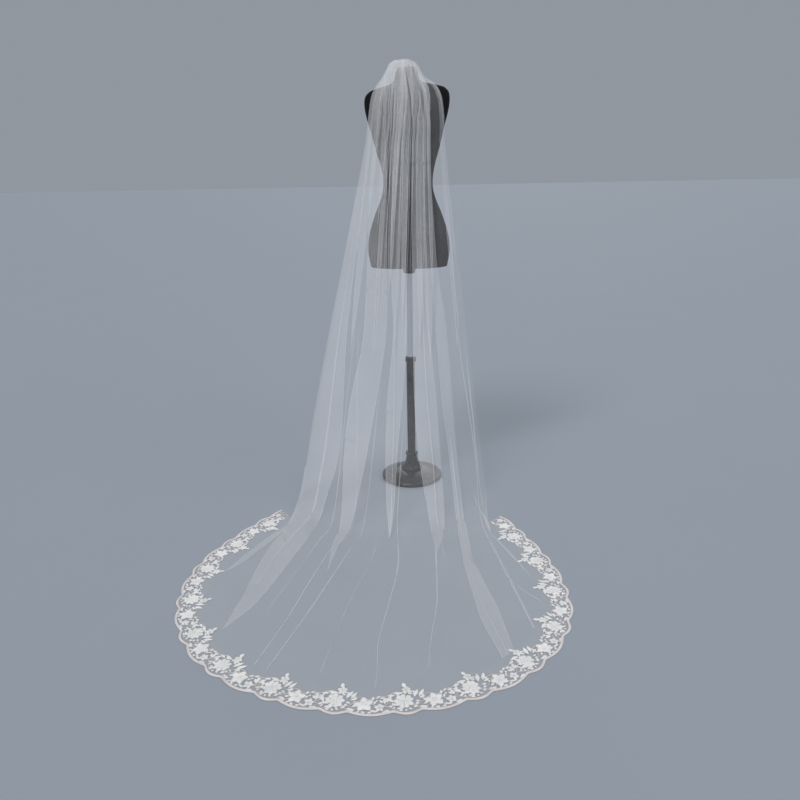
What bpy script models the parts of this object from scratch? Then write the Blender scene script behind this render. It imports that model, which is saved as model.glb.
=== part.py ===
"""Bridal veil with a lace-edged train, hung from the neck of a limbless dress form on a round-footed stand.

Metres, +Z up. The origin is the centre of the foot's underside. The train runs towards -Y, and the form's
chest faces +Y. The veil is one tulle panel, built as five stretches (gathers, back, knees, sweep and train).
Each lies on a base surface over a, the place across (0 left edge, 1 right edge), and its own length.
"""

import math

import bmesh
import bpy
import numpy as np

# ---------------------------------------------------------------- driving dimensions
GAP = 0.0003                  # between pieces that meet
CLOTH = 0.0018                # thickness of the cloth walls
LACE = 0.0020                 # thickness of the lace border

# Stand
EDGE = 0.002                  # small chamfers
FOOT_RADIUS = 0.136
FOOT_CHAMFER = 0.003          # round the underside
FOOT_RIM = 0.018              # height of the rounded rim
RIM_ROUND = 0.007
FOOT_TOP = 0.040
BOOT_RADIUS = 0.046
BOOT_FLANGE = 0.010           # height of its straight foot
BOOT_WAIST = (0.006, 0.066)   # how far it stands off the tube where it is slimmest, and how high that is
BOOT_RING = (0.009, 0.011)    # the same for its top ring, and how tall the ring is
BOOT_TOP = 0.120
TUBE_RADIUS = 0.018
TUBE_TOP = 0.548
COLLAR_RADIUS = 0.024
COLLAR_HEIGHT = 0.020
ROD_RADIUS = 0.0125
SOCKET_RADIUS = 0.030
SOCKET_TAPER = 0.006
SOCKET_HEIGHT = 0.030
ROUND_SIDES = 32

# Dress form: height, half width, depth at the back, depth at the front
FORM_STATIONS = (
    (0.965, 0.160, 0.104, 0.096),
    (1.030, 0.170, 0.114, 0.104),
    (1.100, 0.162, 0.112, 0.108),
    (1.180, 0.136, 0.092, 0.100),
    (1.250, 0.108, 0.076, 0.090),
    (1.300, 0.100, 0.070, 0.088),
    (1.360, 0.108, 0.078, 0.100),
    (1.430, 0.128, 0.092, 0.112),
    (1.500, 0.145, 0.100, 0.108),
    (1.560, 0.162, 0.098, 0.088),
    (1.604, 0.168, 0.084, 0.068),
    (1.631, 0.163, 0.071, 0.056),
    (1.648, 0.145, 0.061, 0.050),
    (1.659, 0.108, 0.055, 0.047),
    (1.667, 0.071, 0.050, 0.044),
    (1.680, 0.050, 0.045, 0.042),
    (1.714, 0.042, 0.041, 0.041),
)
FORM_RINGS = 27
FORM_SIDES = 36
FORM_SQUARENESS = 2.3         # exponent of the rings' superellipse
SHOULDER_LEAN = 0.045         # the form's right shoulder stands this share of its reach higher
LEAN_HEIGHTS = (1.300, 1.540, 1.664, 1.706)
BUST_HEIGHT = 1.440
BUST_HALF_SPAN = 0.068
BUST_SWELL = 0.022
BUST_SPREAD = 0.050
NECK_CAP_HEIGHT = 0.010
NECK_CAP_RADIUS = 0.037

# Gathers: half width, x of the middle, y of the ends, depth of the bow, height of the middle and of the ends
GATHER_ROWS = (
    (0.043, -0.014, 0.052, -0.002, 1.7180, 1.7175),
    (0.043, -0.014, 0.042, -0.001, 1.7360, 1.7340),
    (0.044, -0.014, 0.018, 0.002, 1.7460, 1.7410),
    (0.046, -0.014, -0.006, 0.010, 1.7480, 1.7380),
    (0.057, -0.013, -0.022, 0.034, 1.7380, 1.7220),
    (0.070, -0.014, -0.028, 0.050, 1.7080, 1.6990),
    (0.089, -0.010, -0.034, 0.062, 1.6640, 1.6780),
    (0.113, -0.004, -0.043, 0.072, 1.6120, 1.6570),
    (0.132, -0.003, -0.066, 0.058, 1.5550, 1.6160),
    (0.142, -0.004, -0.077, 0.052, 1.5000, 1.5450),
    (0.147, -0.009, -0.080, 0.052, 1.4500, 1.4600),
)
# Fall: where the cloth first touches the floor
TOUCH_LEFT = (-0.500, -0.200)
TOUCH_RIGHT = (0.328, -0.170)
TOUCH_BOW = 0.430             # how much further back the middle touches
TOUCH_ROUNDNESS = 0.70
# Train: a rounded outline, its angles in degrees from +X at the two ends of the lace
TRAIN_CENTRE = (-0.155, -0.860)
HEM_STATIONS = (              # angle and radius of the valleys between the scallops
    (127.0, 0.652), (148.0, 0.622), (172.0, 0.638), (194.0, 0.648), (218.0, 0.647), (245.0, 0.630),
    (268.0, 0.633), (292.0, 0.650), (318.0, 0.674), (338.0, 0.672), (360.0, 0.642), (382.0, 0.632),
    (401.0, 0.664),
)
END_SHARE = (0.12, 0.14)      # share of the train's width that meets the lace's two ends
LACE_WIDTH = 0.090
LACE_END_GAP = 0.0002         # of its length, left free at each end
LACE_REPEATS = 15.29
LACE_LEAD = 0.648             # where in its repeat the lace starts, at its left end
NARROW_LOBE = 0.38            # share of a repeat that the narrow lobe takes
SCALLOP = 0.012               # how far the scallops stand out
HEM_COLUMNS = 40              # columns of the veil that run to the lace's inner edge
END_COLUMNS = 3               # and to each of its ends
LACE_SPLIT = 3                # columns of the lace for each of the veil's

# Main folds, each as its place across at the shoulder blades, at the floor and at the hem, and its width
MAIN_FOLDS = (
    (0.06, 0.07, 0.16, 0.040),
    (0.20, 0.19, 0.29, 0.050),
    (0.32, 0.30, 0.38, 0.032),
    (0.44, 0.42, 0.45, 0.036),
    (0.56, 0.55, 0.52, 0.032),
    (0.66, 0.66, 0.60, 0.040),
    (0.78, 0.79, 0.69, 0.050),
    (0.93, 0.93, 0.82, 0.034),
)
GATHER_RIPPLE = 0.004         # how far the folds stand out
FALL_RIPPLE = 0.009
TRAIN_RIPPLE = 0.0035

GATHER_PLACES = 14            # rows of each stretch
FALL_PLACES = 17              # of the three stretches that hang, together
FALL_STRETCHES = (            # each with its first and last row
    ("tulle_back", 0, 6),
    ("tulle_knees", 6, 11),
    ("tulle_sweep", 11, 16),
)
TRAIN_PLACES = 9

COMB_WIDTH = 0.086
COMB_BAR = (0.0030, 0.0040)   # depth and height of the bar
COMB_TEETH = 12
COMB_TOOTH = (0.0022, 0.0016, 0.026)


# ---------------------------------------------------------------- small tools
def clear_scene():
    """Removes whatever the file opens with."""
    for thing in list(bpy.data.objects):
        bpy.data.objects.remove(thing, do_unlink=True)


def finish_material(name, colour, roughness, metallic=0.0):
    """A plain finish."""
    material = bpy.data.materials.new(name)
    material.use_nodes = True
    shader = material.node_tree.nodes["Principled BSDF"]
    shader.inputs["Base Color"].default_value = (*colour, 1.0)
    shader.inputs["Roughness"].default_value = roughness
    shader.inputs["Metallic"].default_value = metallic
    return material


def add_mesh(name, points, faces, material, smooth=True):
    """Puts points and faces into a new object, with its normals made to face out."""
    mesh = bpy.data.meshes.new(name)
    mesh.from_pydata([tuple(p) for p in points], [], faces)
    work = bmesh.new()
    work.from_mesh(mesh)
    bmesh.ops.recalc_face_normals(work, faces=work.faces)
    work.to_mesh(mesh)
    work.free()
    if smooth:
        mesh.shade_smooth()
        mesh.set_sharp_from_angle(angle=math.radians(40))
    thing = bpy.data.objects.new(name, mesh)
    thing.data.materials.append(material)
    bpy.context.scene.collection.objects.link(thing)
    return thing


def turned(name, profile, material, sides=ROUND_SIDES):
    """Turns a profile of (radius, height) points, from bottom to top, about the Z axis, with flat ends."""
    angles = np.arange(sides) * 2.0 * math.pi / sides
    points = [(r * math.cos(t), r * math.sin(t), z) for r, z in profile for t in angles]
    faces = []
    for row in range(len(profile) - 1):
        for i in range(sides):
            j = (i + 1) % sides
            faces.append((row * sides + i, row * sides + j, (row + 1) * sides + j, (row + 1) * sides + i))
    faces.append(tuple(reversed(range(sides))))
    faces.append(tuple(range((len(profile) - 1) * sides, len(profile) * sides)))
    return add_mesh(name, points, faces, material)


def wall(name, inner, outer, material):
    """Closes two grids of the same size, shaped (rows, columns, 3), into one wall with a rim."""
    rows, columns = inner.shape[:2]
    count = rows * columns
    points = np.concatenate([outer.reshape(-1, 3), inner.reshape(-1, 3)])
    faces = []
    for r in range(rows - 1):
        for c in range(columns - 1):
            a, b = r * columns + c, r * columns + c + 1
            d, e = a + columns, b + columns
            faces.append((a, b, e, d))
            faces.append((count + a, count + d, count + e, count + b))
    rim = list(range(columns))
    rim += [r * columns + columns - 1 for r in range(1, rows)]
    rim += [(rows - 1) * columns + c for c in range(columns - 2, -1, -1)]
    rim += [r * columns for r in range(rows - 2, 0, -1)]
    for i, p in enumerate(rim):
        q = rim[(i + 1) % len(rim)]
        faces.append((q, p, count + p, count + q))
    return add_mesh(name, points, faces, material)


def grid_normals(grid):
    """Unit normals of a grid, pointing away from the form."""
    across = np.gradient(grid, axis=1)
    along = np.gradient(grid, axis=0)
    normals = np.cross(across, along)
    normals /= np.linalg.norm(normals, axis=2, keepdims=True)
    return -normals if normals[..., 1].mean() > 0.0 else normals


def smooth_through(values, places, table):
    """Reads a table's columns at the given places with a smooth (Catmull-Rom) curve through its rows."""
    table = np.asarray(table, float)
    padded = np.vstack([2 * table[0] - table[1], table, 2 * table[-1] - table[-2]])
    spot = np.interp(places, values, np.arange(len(values)))
    k = np.clip(spot.astype(int), 0, len(values) - 2)
    f = (spot - k)[:, None]
    p0, p1, p2, p3 = padded[k], padded[k + 1], padded[k + 2], padded[k + 3]
    return 0.5 * (2 * p1 + (p2 - p0) * f + (2 * p0 - 5 * p1 + 4 * p2 - p3) * f**2
                  + (3 * p1 - p0 - 3 * p2 + p3) * f**3)


# ---------------------------------------------------------------- dress form and stand
def form_section(heights):
    """Half width, back depth and front depth of the form at each height."""
    stations = np.asarray(FORM_STATIONS)
    return smooth_through(stations[:, 0], np.asarray(heights, float), stations[:, 1:])


def build_torso(material):
    """Superellipse rings through the stations, with the bust swelling out and one shoulder higher."""
    stations = np.asarray(FORM_STATIONS)
    steps = np.linspace(0, len(stations) - 1, FORM_RINGS)
    heights = np.interp(steps, np.arange(len(stations)), stations[:, 0])
    sections = form_section(heights)
    angles = np.arange(FORM_SIDES) * 2.0 * math.pi / FORM_SIDES
    power = 2.0 / FORM_SQUARENESS
    x = np.sign(np.cos(angles)) * np.abs(np.cos(angles)) ** power
    y = np.sign(np.sin(angles)) * np.abs(np.sin(angles)) ** power
    points = []
    faces = []
    for height, (half, back, front) in zip(heights, sections):
        ring_x = x * half
        ring_y = np.where(y > 0, y * front, y * back)
        for side in (-1, 1):
            far = ((ring_x - side * BUST_HALF_SPAN) ** 2 + (height - BUST_HEIGHT) ** 2) / BUST_SPREAD**2
            ring_y += BUST_SWELL * np.exp(-far) * np.clip(y, 0, 1)
        lean = SHOULDER_LEAN * np.interp(height, LEAN_HEIGHTS, (0.0, 1.0, 1.0, 0.0))
        points += list(zip(ring_x, ring_y, height + lean * ring_x))
    for row in range(FORM_RINGS - 1):
        for i in range(FORM_SIDES):
            j = (i + 1) % FORM_SIDES
            a, b = row * FORM_SIDES + i, row * FORM_SIDES + j
            faces.append((a, b, b + FORM_SIDES, a + FORM_SIDES))
    faces.append(tuple(reversed(range(FORM_SIDES))))
    faces.append(tuple(range((FORM_RINGS - 1) * FORM_SIDES, FORM_RINGS * FORM_SIDES)))
    return add_mesh("form_torso", points, faces, material)


def build_foot(material):
    """A disc with a rounded rim that domes up to the boot on a quarter sine."""
    rim_inner = FOOT_RADIUS - RIM_ROUND
    rim = [
        (rim_inner + RIM_ROUND * math.cos(t), FOOT_RIM - RIM_ROUND + RIM_ROUND * math.sin(t))
        for t in np.linspace(0, math.pi / 2, 5)
    ]
    dome_inner = BOOT_RADIUS + EDGE
    dome = [
        (dome_inner + (rim_inner - dome_inner) * (1 - f),
         FOOT_RIM + (FOOT_TOP - FOOT_RIM) * math.sin(f * math.pi / 2))
        for f in (0.2, 0.4, 0.6, 0.8, 1.0)
    ]
    underside = [(FOOT_RADIUS - FOOT_CHAMFER, 0.0), (FOOT_RADIUS, FOOT_CHAMFER)]
    turned("stand_foot", underside + rim + dome, material)


def build_boot(material):
    """A flange that draws in along a parabola to a slim waist and ends in a ring round the tube."""
    base = FOOT_TOP + GAP
    waist_radius = TUBE_RADIUS + BOOT_WAIST[0]
    ring_radius = TUBE_RADIUS + BOOT_RING[0]
    shoulder = (BOOT_RADIUS - 4 * EDGE, base + BOOT_FLANGE + EDGE)
    profile = [(BOOT_RADIUS, base), (BOOT_RADIUS, base + BOOT_FLANGE - 2 * EDGE),
               (BOOT_RADIUS - 2 * EDGE, base + BOOT_FLANGE)]
    profile += [
        (waist_radius + (shoulder[0] - waist_radius) * (1 - f) ** 2,
         shoulder[1] + (base + BOOT_WAIST[1] - shoulder[1]) * f)
        for f in (0.0, 0.33, 0.66, 1.0)
    ]
    profile += [(ring_radius, BOOT_TOP - BOOT_RING[1]), (ring_radius, BOOT_TOP - EDGE),
                (ring_radius - EDGE, BOOT_TOP)]
    turned("foot_boot", profile, material)


def chamfered(radius, bottom, top):
    """A short cylinder's profile with both of its edges chamfered."""
    return [(radius - EDGE, bottom), (radius, bottom + EDGE), (radius, top - EDGE), (radius - EDGE, top)]


def build_pole(black, chrome):
    """The black tube, its collar, the chrome rod that slides in it, and the socket under the form."""
    collar_bottom = TUBE_TOP + GAP
    collar_top = collar_bottom + COLLAR_HEIGHT
    form_bottom = FORM_STATIONS[0][0]
    socket_bottom = form_bottom - GAP - SOCKET_HEIGHT
    turned("stand_tube", [(TUBE_RADIUS, BOOT_TOP + GAP), (TUBE_RADIUS, TUBE_TOP)], black)
    turned("rod_collar", chamfered(COLLAR_RADIUS, collar_bottom, collar_top), black)
    turned("chrome_rod", [(ROD_RADIUS, collar_top + GAP), (ROD_RADIUS, socket_bottom - GAP)], chrome)
    socket_inner = SOCKET_RADIUS - SOCKET_TAPER
    turned("torso_socket", [
        (socket_inner - EDGE, socket_bottom), (socket_inner, socket_bottom + EDGE),
        (SOCKET_RADIUS, form_bottom - GAP)], black)


def build_neck_cap(material):
    """A low disc that closes the neck."""
    bottom = FORM_STATIONS[-1][0] + GAP
    turned("neck_cap", chamfered(NECK_CAP_RADIUS, bottom, bottom + NECK_CAP_HEIGHT), material)


# ---------------------------------------------------------------- the veil's base surface
def gather_rows(places):
    """Rows of the gathers: half ellipses round the neck's back, from the gathered edge (0) down (1)."""
    return smooth_through(np.linspace(0, 1, len(GATHER_ROWS)), places, GATHER_ROWS)


def gathers_surface(a, places):
    """Bowed rows: x and y run round a half ellipse, and z dips from the middle to the ends with sin^1.5."""
    half, middle, end_y, bow, z_middle, z_end = (v[:, None] for v in gather_rows(places).T)
    turn = math.pi * (1.0 - a)[None, :]
    x = middle + half * np.cos(turn)
    y = end_y - bow * np.sin(turn)
    z = z_end + (z_middle - z_end) * np.sin(turn) ** 1.5
    return np.stack([x, y, z], axis=2)


def touch_line(a):
    """Where each length of the veil reaches the floor: a bowed line from edge to edge."""
    x = TOUCH_LEFT[0] + (TOUCH_RIGHT[0] - TOUCH_LEFT[0]) * a
    y = TOUCH_LEFT[1] + (TOUCH_RIGHT[1] - TOUCH_LEFT[1]) * a
    y = y - TOUCH_BOW * (1.0 - (2.0 * a - 1.0) ** 2) ** TOUCH_ROUNDNESS
    return x, y


def catenary_scale(span, rise):
    """The scale c of a catenary that is level at its foot and climbs rise over span, by bisection."""
    low, high = span / 40.0, span * 40.0
    for _ in range(60):
        c = np.sqrt(low * high)
        too_high = c * (np.cosh(np.minimum(span / c, 40.0)) - 1.0) > rise
        low = np.where(too_high, c, low)
        high = np.where(too_high, high, c)
    return c


def fall_surface(a, places):
    """Each length hangs as a catenary from the shoulder blades (0), and lies level where it touches (1)."""
    top = gathers_surface(a, np.array([1.0]))[0]
    foot_x, foot_y = touch_line(a)
    span = top[:, 1] - foot_y
    scale = catenary_scale(span, top[:, 2])
    whole = scale * np.sinh(span / scale)
    left = 1.0 - places[:, None]
    reach = scale * np.arcsinh(left * whole / scale)
    x = foot_x + (top[:, 0] - foot_x) * left
    y = foot_y + reach
    z = scale * (np.cosh(reach / scale) - 1.0)
    return np.stack([x, y, z], axis=2)


def hem_line(a, inset):
    """The lace's edge from its left end (0) to its right end (1), inset from the scallops' valleys."""
    stations = np.asarray(HEM_STATIONS)
    angle = stations[0, 0] + (stations[-1, 0] - stations[0, 0]) * a
    radius = smooth_through(stations[:, 0], angle, stations[:, 1:])[:, 0] - inset
    angle = np.radians(angle)
    return TRAIN_CENTRE[0] + radius * np.cos(angle), TRAIN_CENTRE[1] + radius * np.sin(angle)


def train_edge(a):
    """The tulle's edge on the floor: down the lace's left end, along its inner edge and up its right end."""
    left, right = END_SHARE
    along = np.clip((a - left) / (1.0 - left - right), 0.0, 1.0)
    end = np.clip(np.maximum(1.0 - a / left, (a - 1.0 + right) / right), 0.0, 1.0)
    return hem_line(along, (LACE_WIDTH + GAP) * (1.0 - end))


def train_surface(a, places):
    """Straight lines on the floor from the touch line (0) to the lace (1)."""
    foot_x, foot_y = touch_line(a)
    hem_x, hem_y = train_edge(a)
    f = places[:, None]
    x = foot_x + (hem_x - foot_x) * f
    y = foot_y + (hem_y - foot_y) * f
    return np.stack([x, y, np.zeros_like(x)], axis=2)


def veil_columns():
    """The columns that all the stretches share, with one at each corner of the lace's ends."""
    left, right = END_SHARE
    return np.concatenate([
        np.linspace(0, left, END_COLUMNS + 1)[:-1],
        np.linspace(left, 1 - right, HEM_COLUMNS + 1),
        np.linspace(1 - right, 1, END_COLUMNS + 1)[1:]])


def fold_swell(a, start, end, places):
    """Soft ridges, 0 to 1, along the main folds, which run from one place across to another."""
    swell = np.zeros((len(places), len(a)))
    for fold in MAIN_FOLDS:
        line = fold[start] + (fold[end] - fold[start]) * places[:, None]
        swell += np.exp(-(((a[None, :] - line) / fold[3]) ** 2))
    return np.clip(swell, 0.0, 1.0)


# ---------------------------------------------------------------- the veil's pieces
def draw_back(grid, row, distance):
    """Draws an end row back towards its neighbour, to leave a gap to the next piece."""
    step = grid[1 if row == 0 else -2] - grid[row]
    grid[row] += step * (distance / np.linalg.norm(step, axis=1))[:, None]


def build_gathers(material):
    """From the gathered edge over the neck to the shoulder blades."""
    a = veil_columns()
    places = np.linspace(0, 1, GATHER_PLACES)
    inner = gathers_surface(a, places)
    normals = grid_normals(inner)
    swell = fold_swell(a, 0, 0, places) * GATHER_RIPPLE * np.linspace(0.4, 1.0, len(places))[:, None]
    outer = inner + normals * (CLOTH + swell * 0.5)[..., None]
    wall("tulle_gathers", inner, outer, material)


def build_fall(material):
    """The stretches that hang: down the back, past the knees, and in a sweep to the floor."""
    a = veil_columns()
    places = np.linspace(0, 1, FALL_PLACES)
    base = fall_surface(a, places)
    draw_back(base, 0, GAP * 1.5)
    draw_back(base, -1, GAP * 3.0)
    normals = grid_normals(base)
    normals[-1] = (0.0, 0.0, 1.0)
    swell = fold_swell(a, 0, 1, places) * FALL_RIPPLE * np.sin(places * math.pi)[:, None] ** 0.6
    inner = base + normals * swell[..., None]
    outer = inner + normals * CLOTH
    floor = inner[..., 2].min(axis=1) < CLOTH
    inner[floor, :, 2] = np.maximum(inner[floor, :, 2], 0.0)
    for name, first, last in FALL_STRETCHES:
        sides = [side[first:last + 1].copy() for side in (inner, outer)]
        for side in sides:
            if first > 0:
                draw_back(side, 0, GAP)
            if last < FALL_PLACES - 1:
                draw_back(side, -1, GAP)
        wall(name, *sides, material)


def build_train(material):
    """Flat underneath, on the floor, with the ends of the folds standing out of its top."""
    a = veil_columns()
    places = np.linspace(0, 1, TRAIN_PLACES)
    under = train_surface(a, places)
    draw_back(under, 0, GAP * 2.0)
    swell = fold_swell(a, 1, 2, places) * TRAIN_RIPPLE * np.cos(places * math.pi / 2)[:, None]
    over = under.copy()
    over[..., 2] = CLOTH + swell
    wall("tulle_train", under, over, material)


def build_lace(material):
    """A flat border on the floor, round the train. Each repeat has a narrow lobe and a broad one."""
    a = np.linspace(LACE_END_GAP, 1 - LACE_END_GAP, HEM_COLUMNS * LACE_SPLIT + 1)
    phase = (a * LACE_REPEATS + LACE_LEAD) % 1.0
    narrow = np.abs(np.sin(math.pi * np.clip(phase / NARROW_LOBE, 0, 1)))
    broad = np.abs(np.sin(math.pi * np.clip((phase - NARROW_LOBE) / (1 - NARROW_LOBE), 0, 1)))
    corners = np.linspace(0, 1, HEM_COLUMNS + 1)
    inner = [np.interp(a, corners, line) for line in hem_line(corners, LACE_WIDTH - GAP)]
    outer = hem_line(a, -SCALLOP * np.maximum(narrow, broad))
    under = np.stack([np.stack([x, y, np.zeros_like(x)], axis=1) for x, y in (inner, outer)])
    over = under.copy()
    over[..., 2] = LACE
    wall("lace_border", under, over, material)


def build_comb(material):
    """A bar with a row of teeth under the gathered edge, on the chest side of the neck."""
    edge = gathers_surface(np.array([0.5]), np.array([0.0]))[0, 0]
    depth, height = COMB_BAR
    tooth_x, tooth_y, tooth_z = COMB_TOOTH
    centre = (edge[0], edge[1], edge[2] - height - GAP)
    work = bmesh.new()
    outline = []
    pitch = (COMB_WIDTH - tooth_x) / (COMB_TEETH - 1)
    for i in range(COMB_TEETH):
        left = -COMB_WIDTH / 2 + i * pitch
        outline += [(left, 0.0), (left, -tooth_z), (left + tooth_x, -tooth_z), (left + tooth_x, 0.0)]
    outline += [(COMB_WIDTH / 2, height), (-COMB_WIDTH / 2, height)]
    front = [work.verts.new((centre[0] + x, centre[1] + tooth_y / 2, centre[2] + z)) for x, z in outline]
    face = work.faces.new(front)
    made = bmesh.ops.extrude_face_region(work, geom=[face])
    moved = [v for v in made["geom"] if isinstance(v, bmesh.types.BMVert)]
    bmesh.ops.translate(work, verts=moved, vec=(0.0, depth, 0.0))
    bmesh.ops.triangulate(work, faces=work.faces)
    bmesh.ops.recalc_face_normals(work, faces=work.faces)
    mesh = bpy.data.meshes.new("veil_comb")
    work.to_mesh(mesh)
    work.free()
    thing = bpy.data.objects.new("veil_comb", mesh)
    thing.data.materials.append(material)
    bpy.context.scene.collection.objects.link(thing)


def main():
    clear_scene()
    black_cloth = finish_material("form_jersey", (0.012, 0.012, 0.013), 0.75)
    black_metal = finish_material("black_enamel", (0.010, 0.010, 0.011), 0.28)
    chrome = finish_material("chrome", (0.80, 0.81, 0.82), 0.12, 1.0)
    tulle = finish_material("white_tulle", (0.86, 0.86, 0.88), 0.85)
    lace = finish_material("ivory_lace", (0.88, 0.86, 0.83), 0.80)
    wire = finish_material("comb_metal", (0.72, 0.72, 0.74), 0.25, 1.0)
    build_foot(black_metal)
    build_boot(black_metal)
    build_pole(black_metal, chrome)
    build_torso(black_cloth)
    build_neck_cap(black_metal)
    build_gathers(tulle)
    build_fall(tulle)
    build_train(tulle)
    build_lace(lace)
    build_comb(wire)


main()
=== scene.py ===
"""Builds the finished look of a bridal veil with a lace-edged train, on its dress form and stand.

The veil is one tulle panel. Across it a place runs from 0, its left edge, to 1, its right edge, seen from the
train. Along it a row runs from 0, the gathered edge at the comb, over 1, the shoulder blades, and 2, the line
where the cloth reaches the floor, to 3, the inner edge of the lace. Metres, +Z up.
"""

import math

import bpy
import bmesh
import numpy as np
from mathutils import Matrix, Vector


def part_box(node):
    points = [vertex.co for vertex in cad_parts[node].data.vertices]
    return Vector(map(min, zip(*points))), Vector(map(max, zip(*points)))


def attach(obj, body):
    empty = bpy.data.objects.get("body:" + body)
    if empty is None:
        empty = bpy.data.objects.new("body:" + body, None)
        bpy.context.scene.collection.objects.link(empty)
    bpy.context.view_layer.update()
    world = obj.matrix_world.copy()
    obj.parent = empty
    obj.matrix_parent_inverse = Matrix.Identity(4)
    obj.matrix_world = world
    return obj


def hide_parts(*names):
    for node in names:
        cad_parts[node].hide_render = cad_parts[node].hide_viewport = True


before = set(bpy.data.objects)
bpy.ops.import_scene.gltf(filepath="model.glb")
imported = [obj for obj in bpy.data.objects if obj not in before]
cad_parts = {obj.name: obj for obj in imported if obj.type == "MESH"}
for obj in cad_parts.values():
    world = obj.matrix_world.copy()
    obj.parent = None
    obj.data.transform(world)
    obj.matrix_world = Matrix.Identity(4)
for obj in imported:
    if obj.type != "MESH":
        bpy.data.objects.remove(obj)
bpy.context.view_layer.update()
BODY = "root"

bl_info = {
    "name": "Bridal veil on a dress form",
    "version": (1, 0, 0),
    "blender": (4, 5, 0),
    "location": "View3D > Sidebar > Veil",
    "description": "Folds a tulle panel over a dress form, lays its lace border and finishes the stand",
    "category": "Object",
}

# ---------------------------------------------------------------- the shapes that the frame is made to
# Gathers: half width, x of the middle, y of the ends, depth of the bow, height of the middle and of the ends
GATHER_ROWS = (
    (0.043, -0.014, 0.052, -0.002, 1.7180, 1.7175),
    (0.043, -0.014, 0.042, -0.001, 1.7360, 1.7340),
    (0.044, -0.014, 0.018, 0.002, 1.7460, 1.7410),
    (0.046, -0.014, -0.006, 0.010, 1.7480, 1.7380),
    (0.057, -0.013, -0.022, 0.034, 1.7380, 1.7220),
    (0.070, -0.014, -0.028, 0.050, 1.7080, 1.6990),
    (0.089, -0.010, -0.034, 0.062, 1.6640, 1.6780),
    (0.113, -0.004, -0.043, 0.072, 1.6120, 1.6570),
    (0.132, -0.003, -0.066, 0.058, 1.5550, 1.6160),
    (0.142, -0.004, -0.077, 0.052, 1.5000, 1.5450),
    (0.147, -0.009, -0.080, 0.052, 1.4500, 1.4600),
)
TOUCH_LEFT = (-0.500, -0.200)      # where the panel's edges reach the floor
TOUCH_RIGHT = (0.328, -0.170)
TOUCH_BOW = 0.430                  # how far the touch line bows out between them
TOUCH_ROUNDNESS = 0.70             # power of the bow: a parabola at 1, boxier below it
TRAIN_CENTRE = (-0.155, -0.860)    # what the hem's radii are measured from
HEM_STATIONS = (              # angle and radius of the valleys between the scallops
    (127.0, 0.652), (148.0, 0.622), (172.0, 0.638), (194.0, 0.648), (218.0, 0.647), (245.0, 0.630),
    (268.0, 0.633), (292.0, 0.650), (318.0, 0.674), (338.0, 0.672), (360.0, 0.642), (382.0, 0.632),
    (401.0, 0.664),
)
SIDE_LACE = (0.26, 0.30)      # how far the lace climbs the panel's straight sides, left and right
CORNER_RADIUS = 0.66          # of the panel's rounded bottom corners
LACE_START = -0.352           # the repeat's place at the lace's left end
NARROW_LOBE = 0.38            # share of a repeat that the narrow lobe takes
CORNER_START = 0.30           # share of the train's side that lies before the lace's end
CORNER_REACH = 0.12           # how far across the side's own line is felt

# Dress form: height, half width, depth at the back, depth at the front
FORM_STATIONS = (
    (0.965, 0.160, 0.104, 0.096),
    (1.030, 0.170, 0.114, 0.104),
    (1.100, 0.162, 0.112, 0.108),
    (1.180, 0.136, 0.092, 0.100),
    (1.250, 0.108, 0.076, 0.090),
    (1.300, 0.100, 0.070, 0.088),
    (1.360, 0.108, 0.078, 0.100),
    (1.430, 0.128, 0.092, 0.112),
    (1.500, 0.145, 0.100, 0.108),
    (1.560, 0.162, 0.098, 0.088),
    (1.604, 0.168, 0.084, 0.068),
    (1.631, 0.163, 0.071, 0.056),
    (1.648, 0.145, 0.061, 0.050),
    (1.659, 0.108, 0.055, 0.047),
    (1.667, 0.071, 0.050, 0.044),
    (1.680, 0.050, 0.045, 0.042),
    (1.714, 0.042, 0.041, 0.041),
)
FORM_SQUARENESS = 2.3         # power of the form's sections: 2 is an ellipse
SHOULDER_LEAN = 0.045         # the form's right shoulder stands this share of its reach higher
LEAN_HEIGHTS = (1.300, 1.540, 1.664, 1.706)     # the lean grows, stays and dies away between these
BUST_HEIGHT = 1.440
BUST_HALF_SPAN = 0.068
BUST_SWELL = 0.022
BUST_SPREAD = 0.050
SEAM_TURNS = (0.0, 58.0, 90.0, 122.0, 180.0, 238.0, 270.0, 302.0)    # degrees round the form from its right
SEAM_SPREAD = 1.6             # degrees

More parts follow.
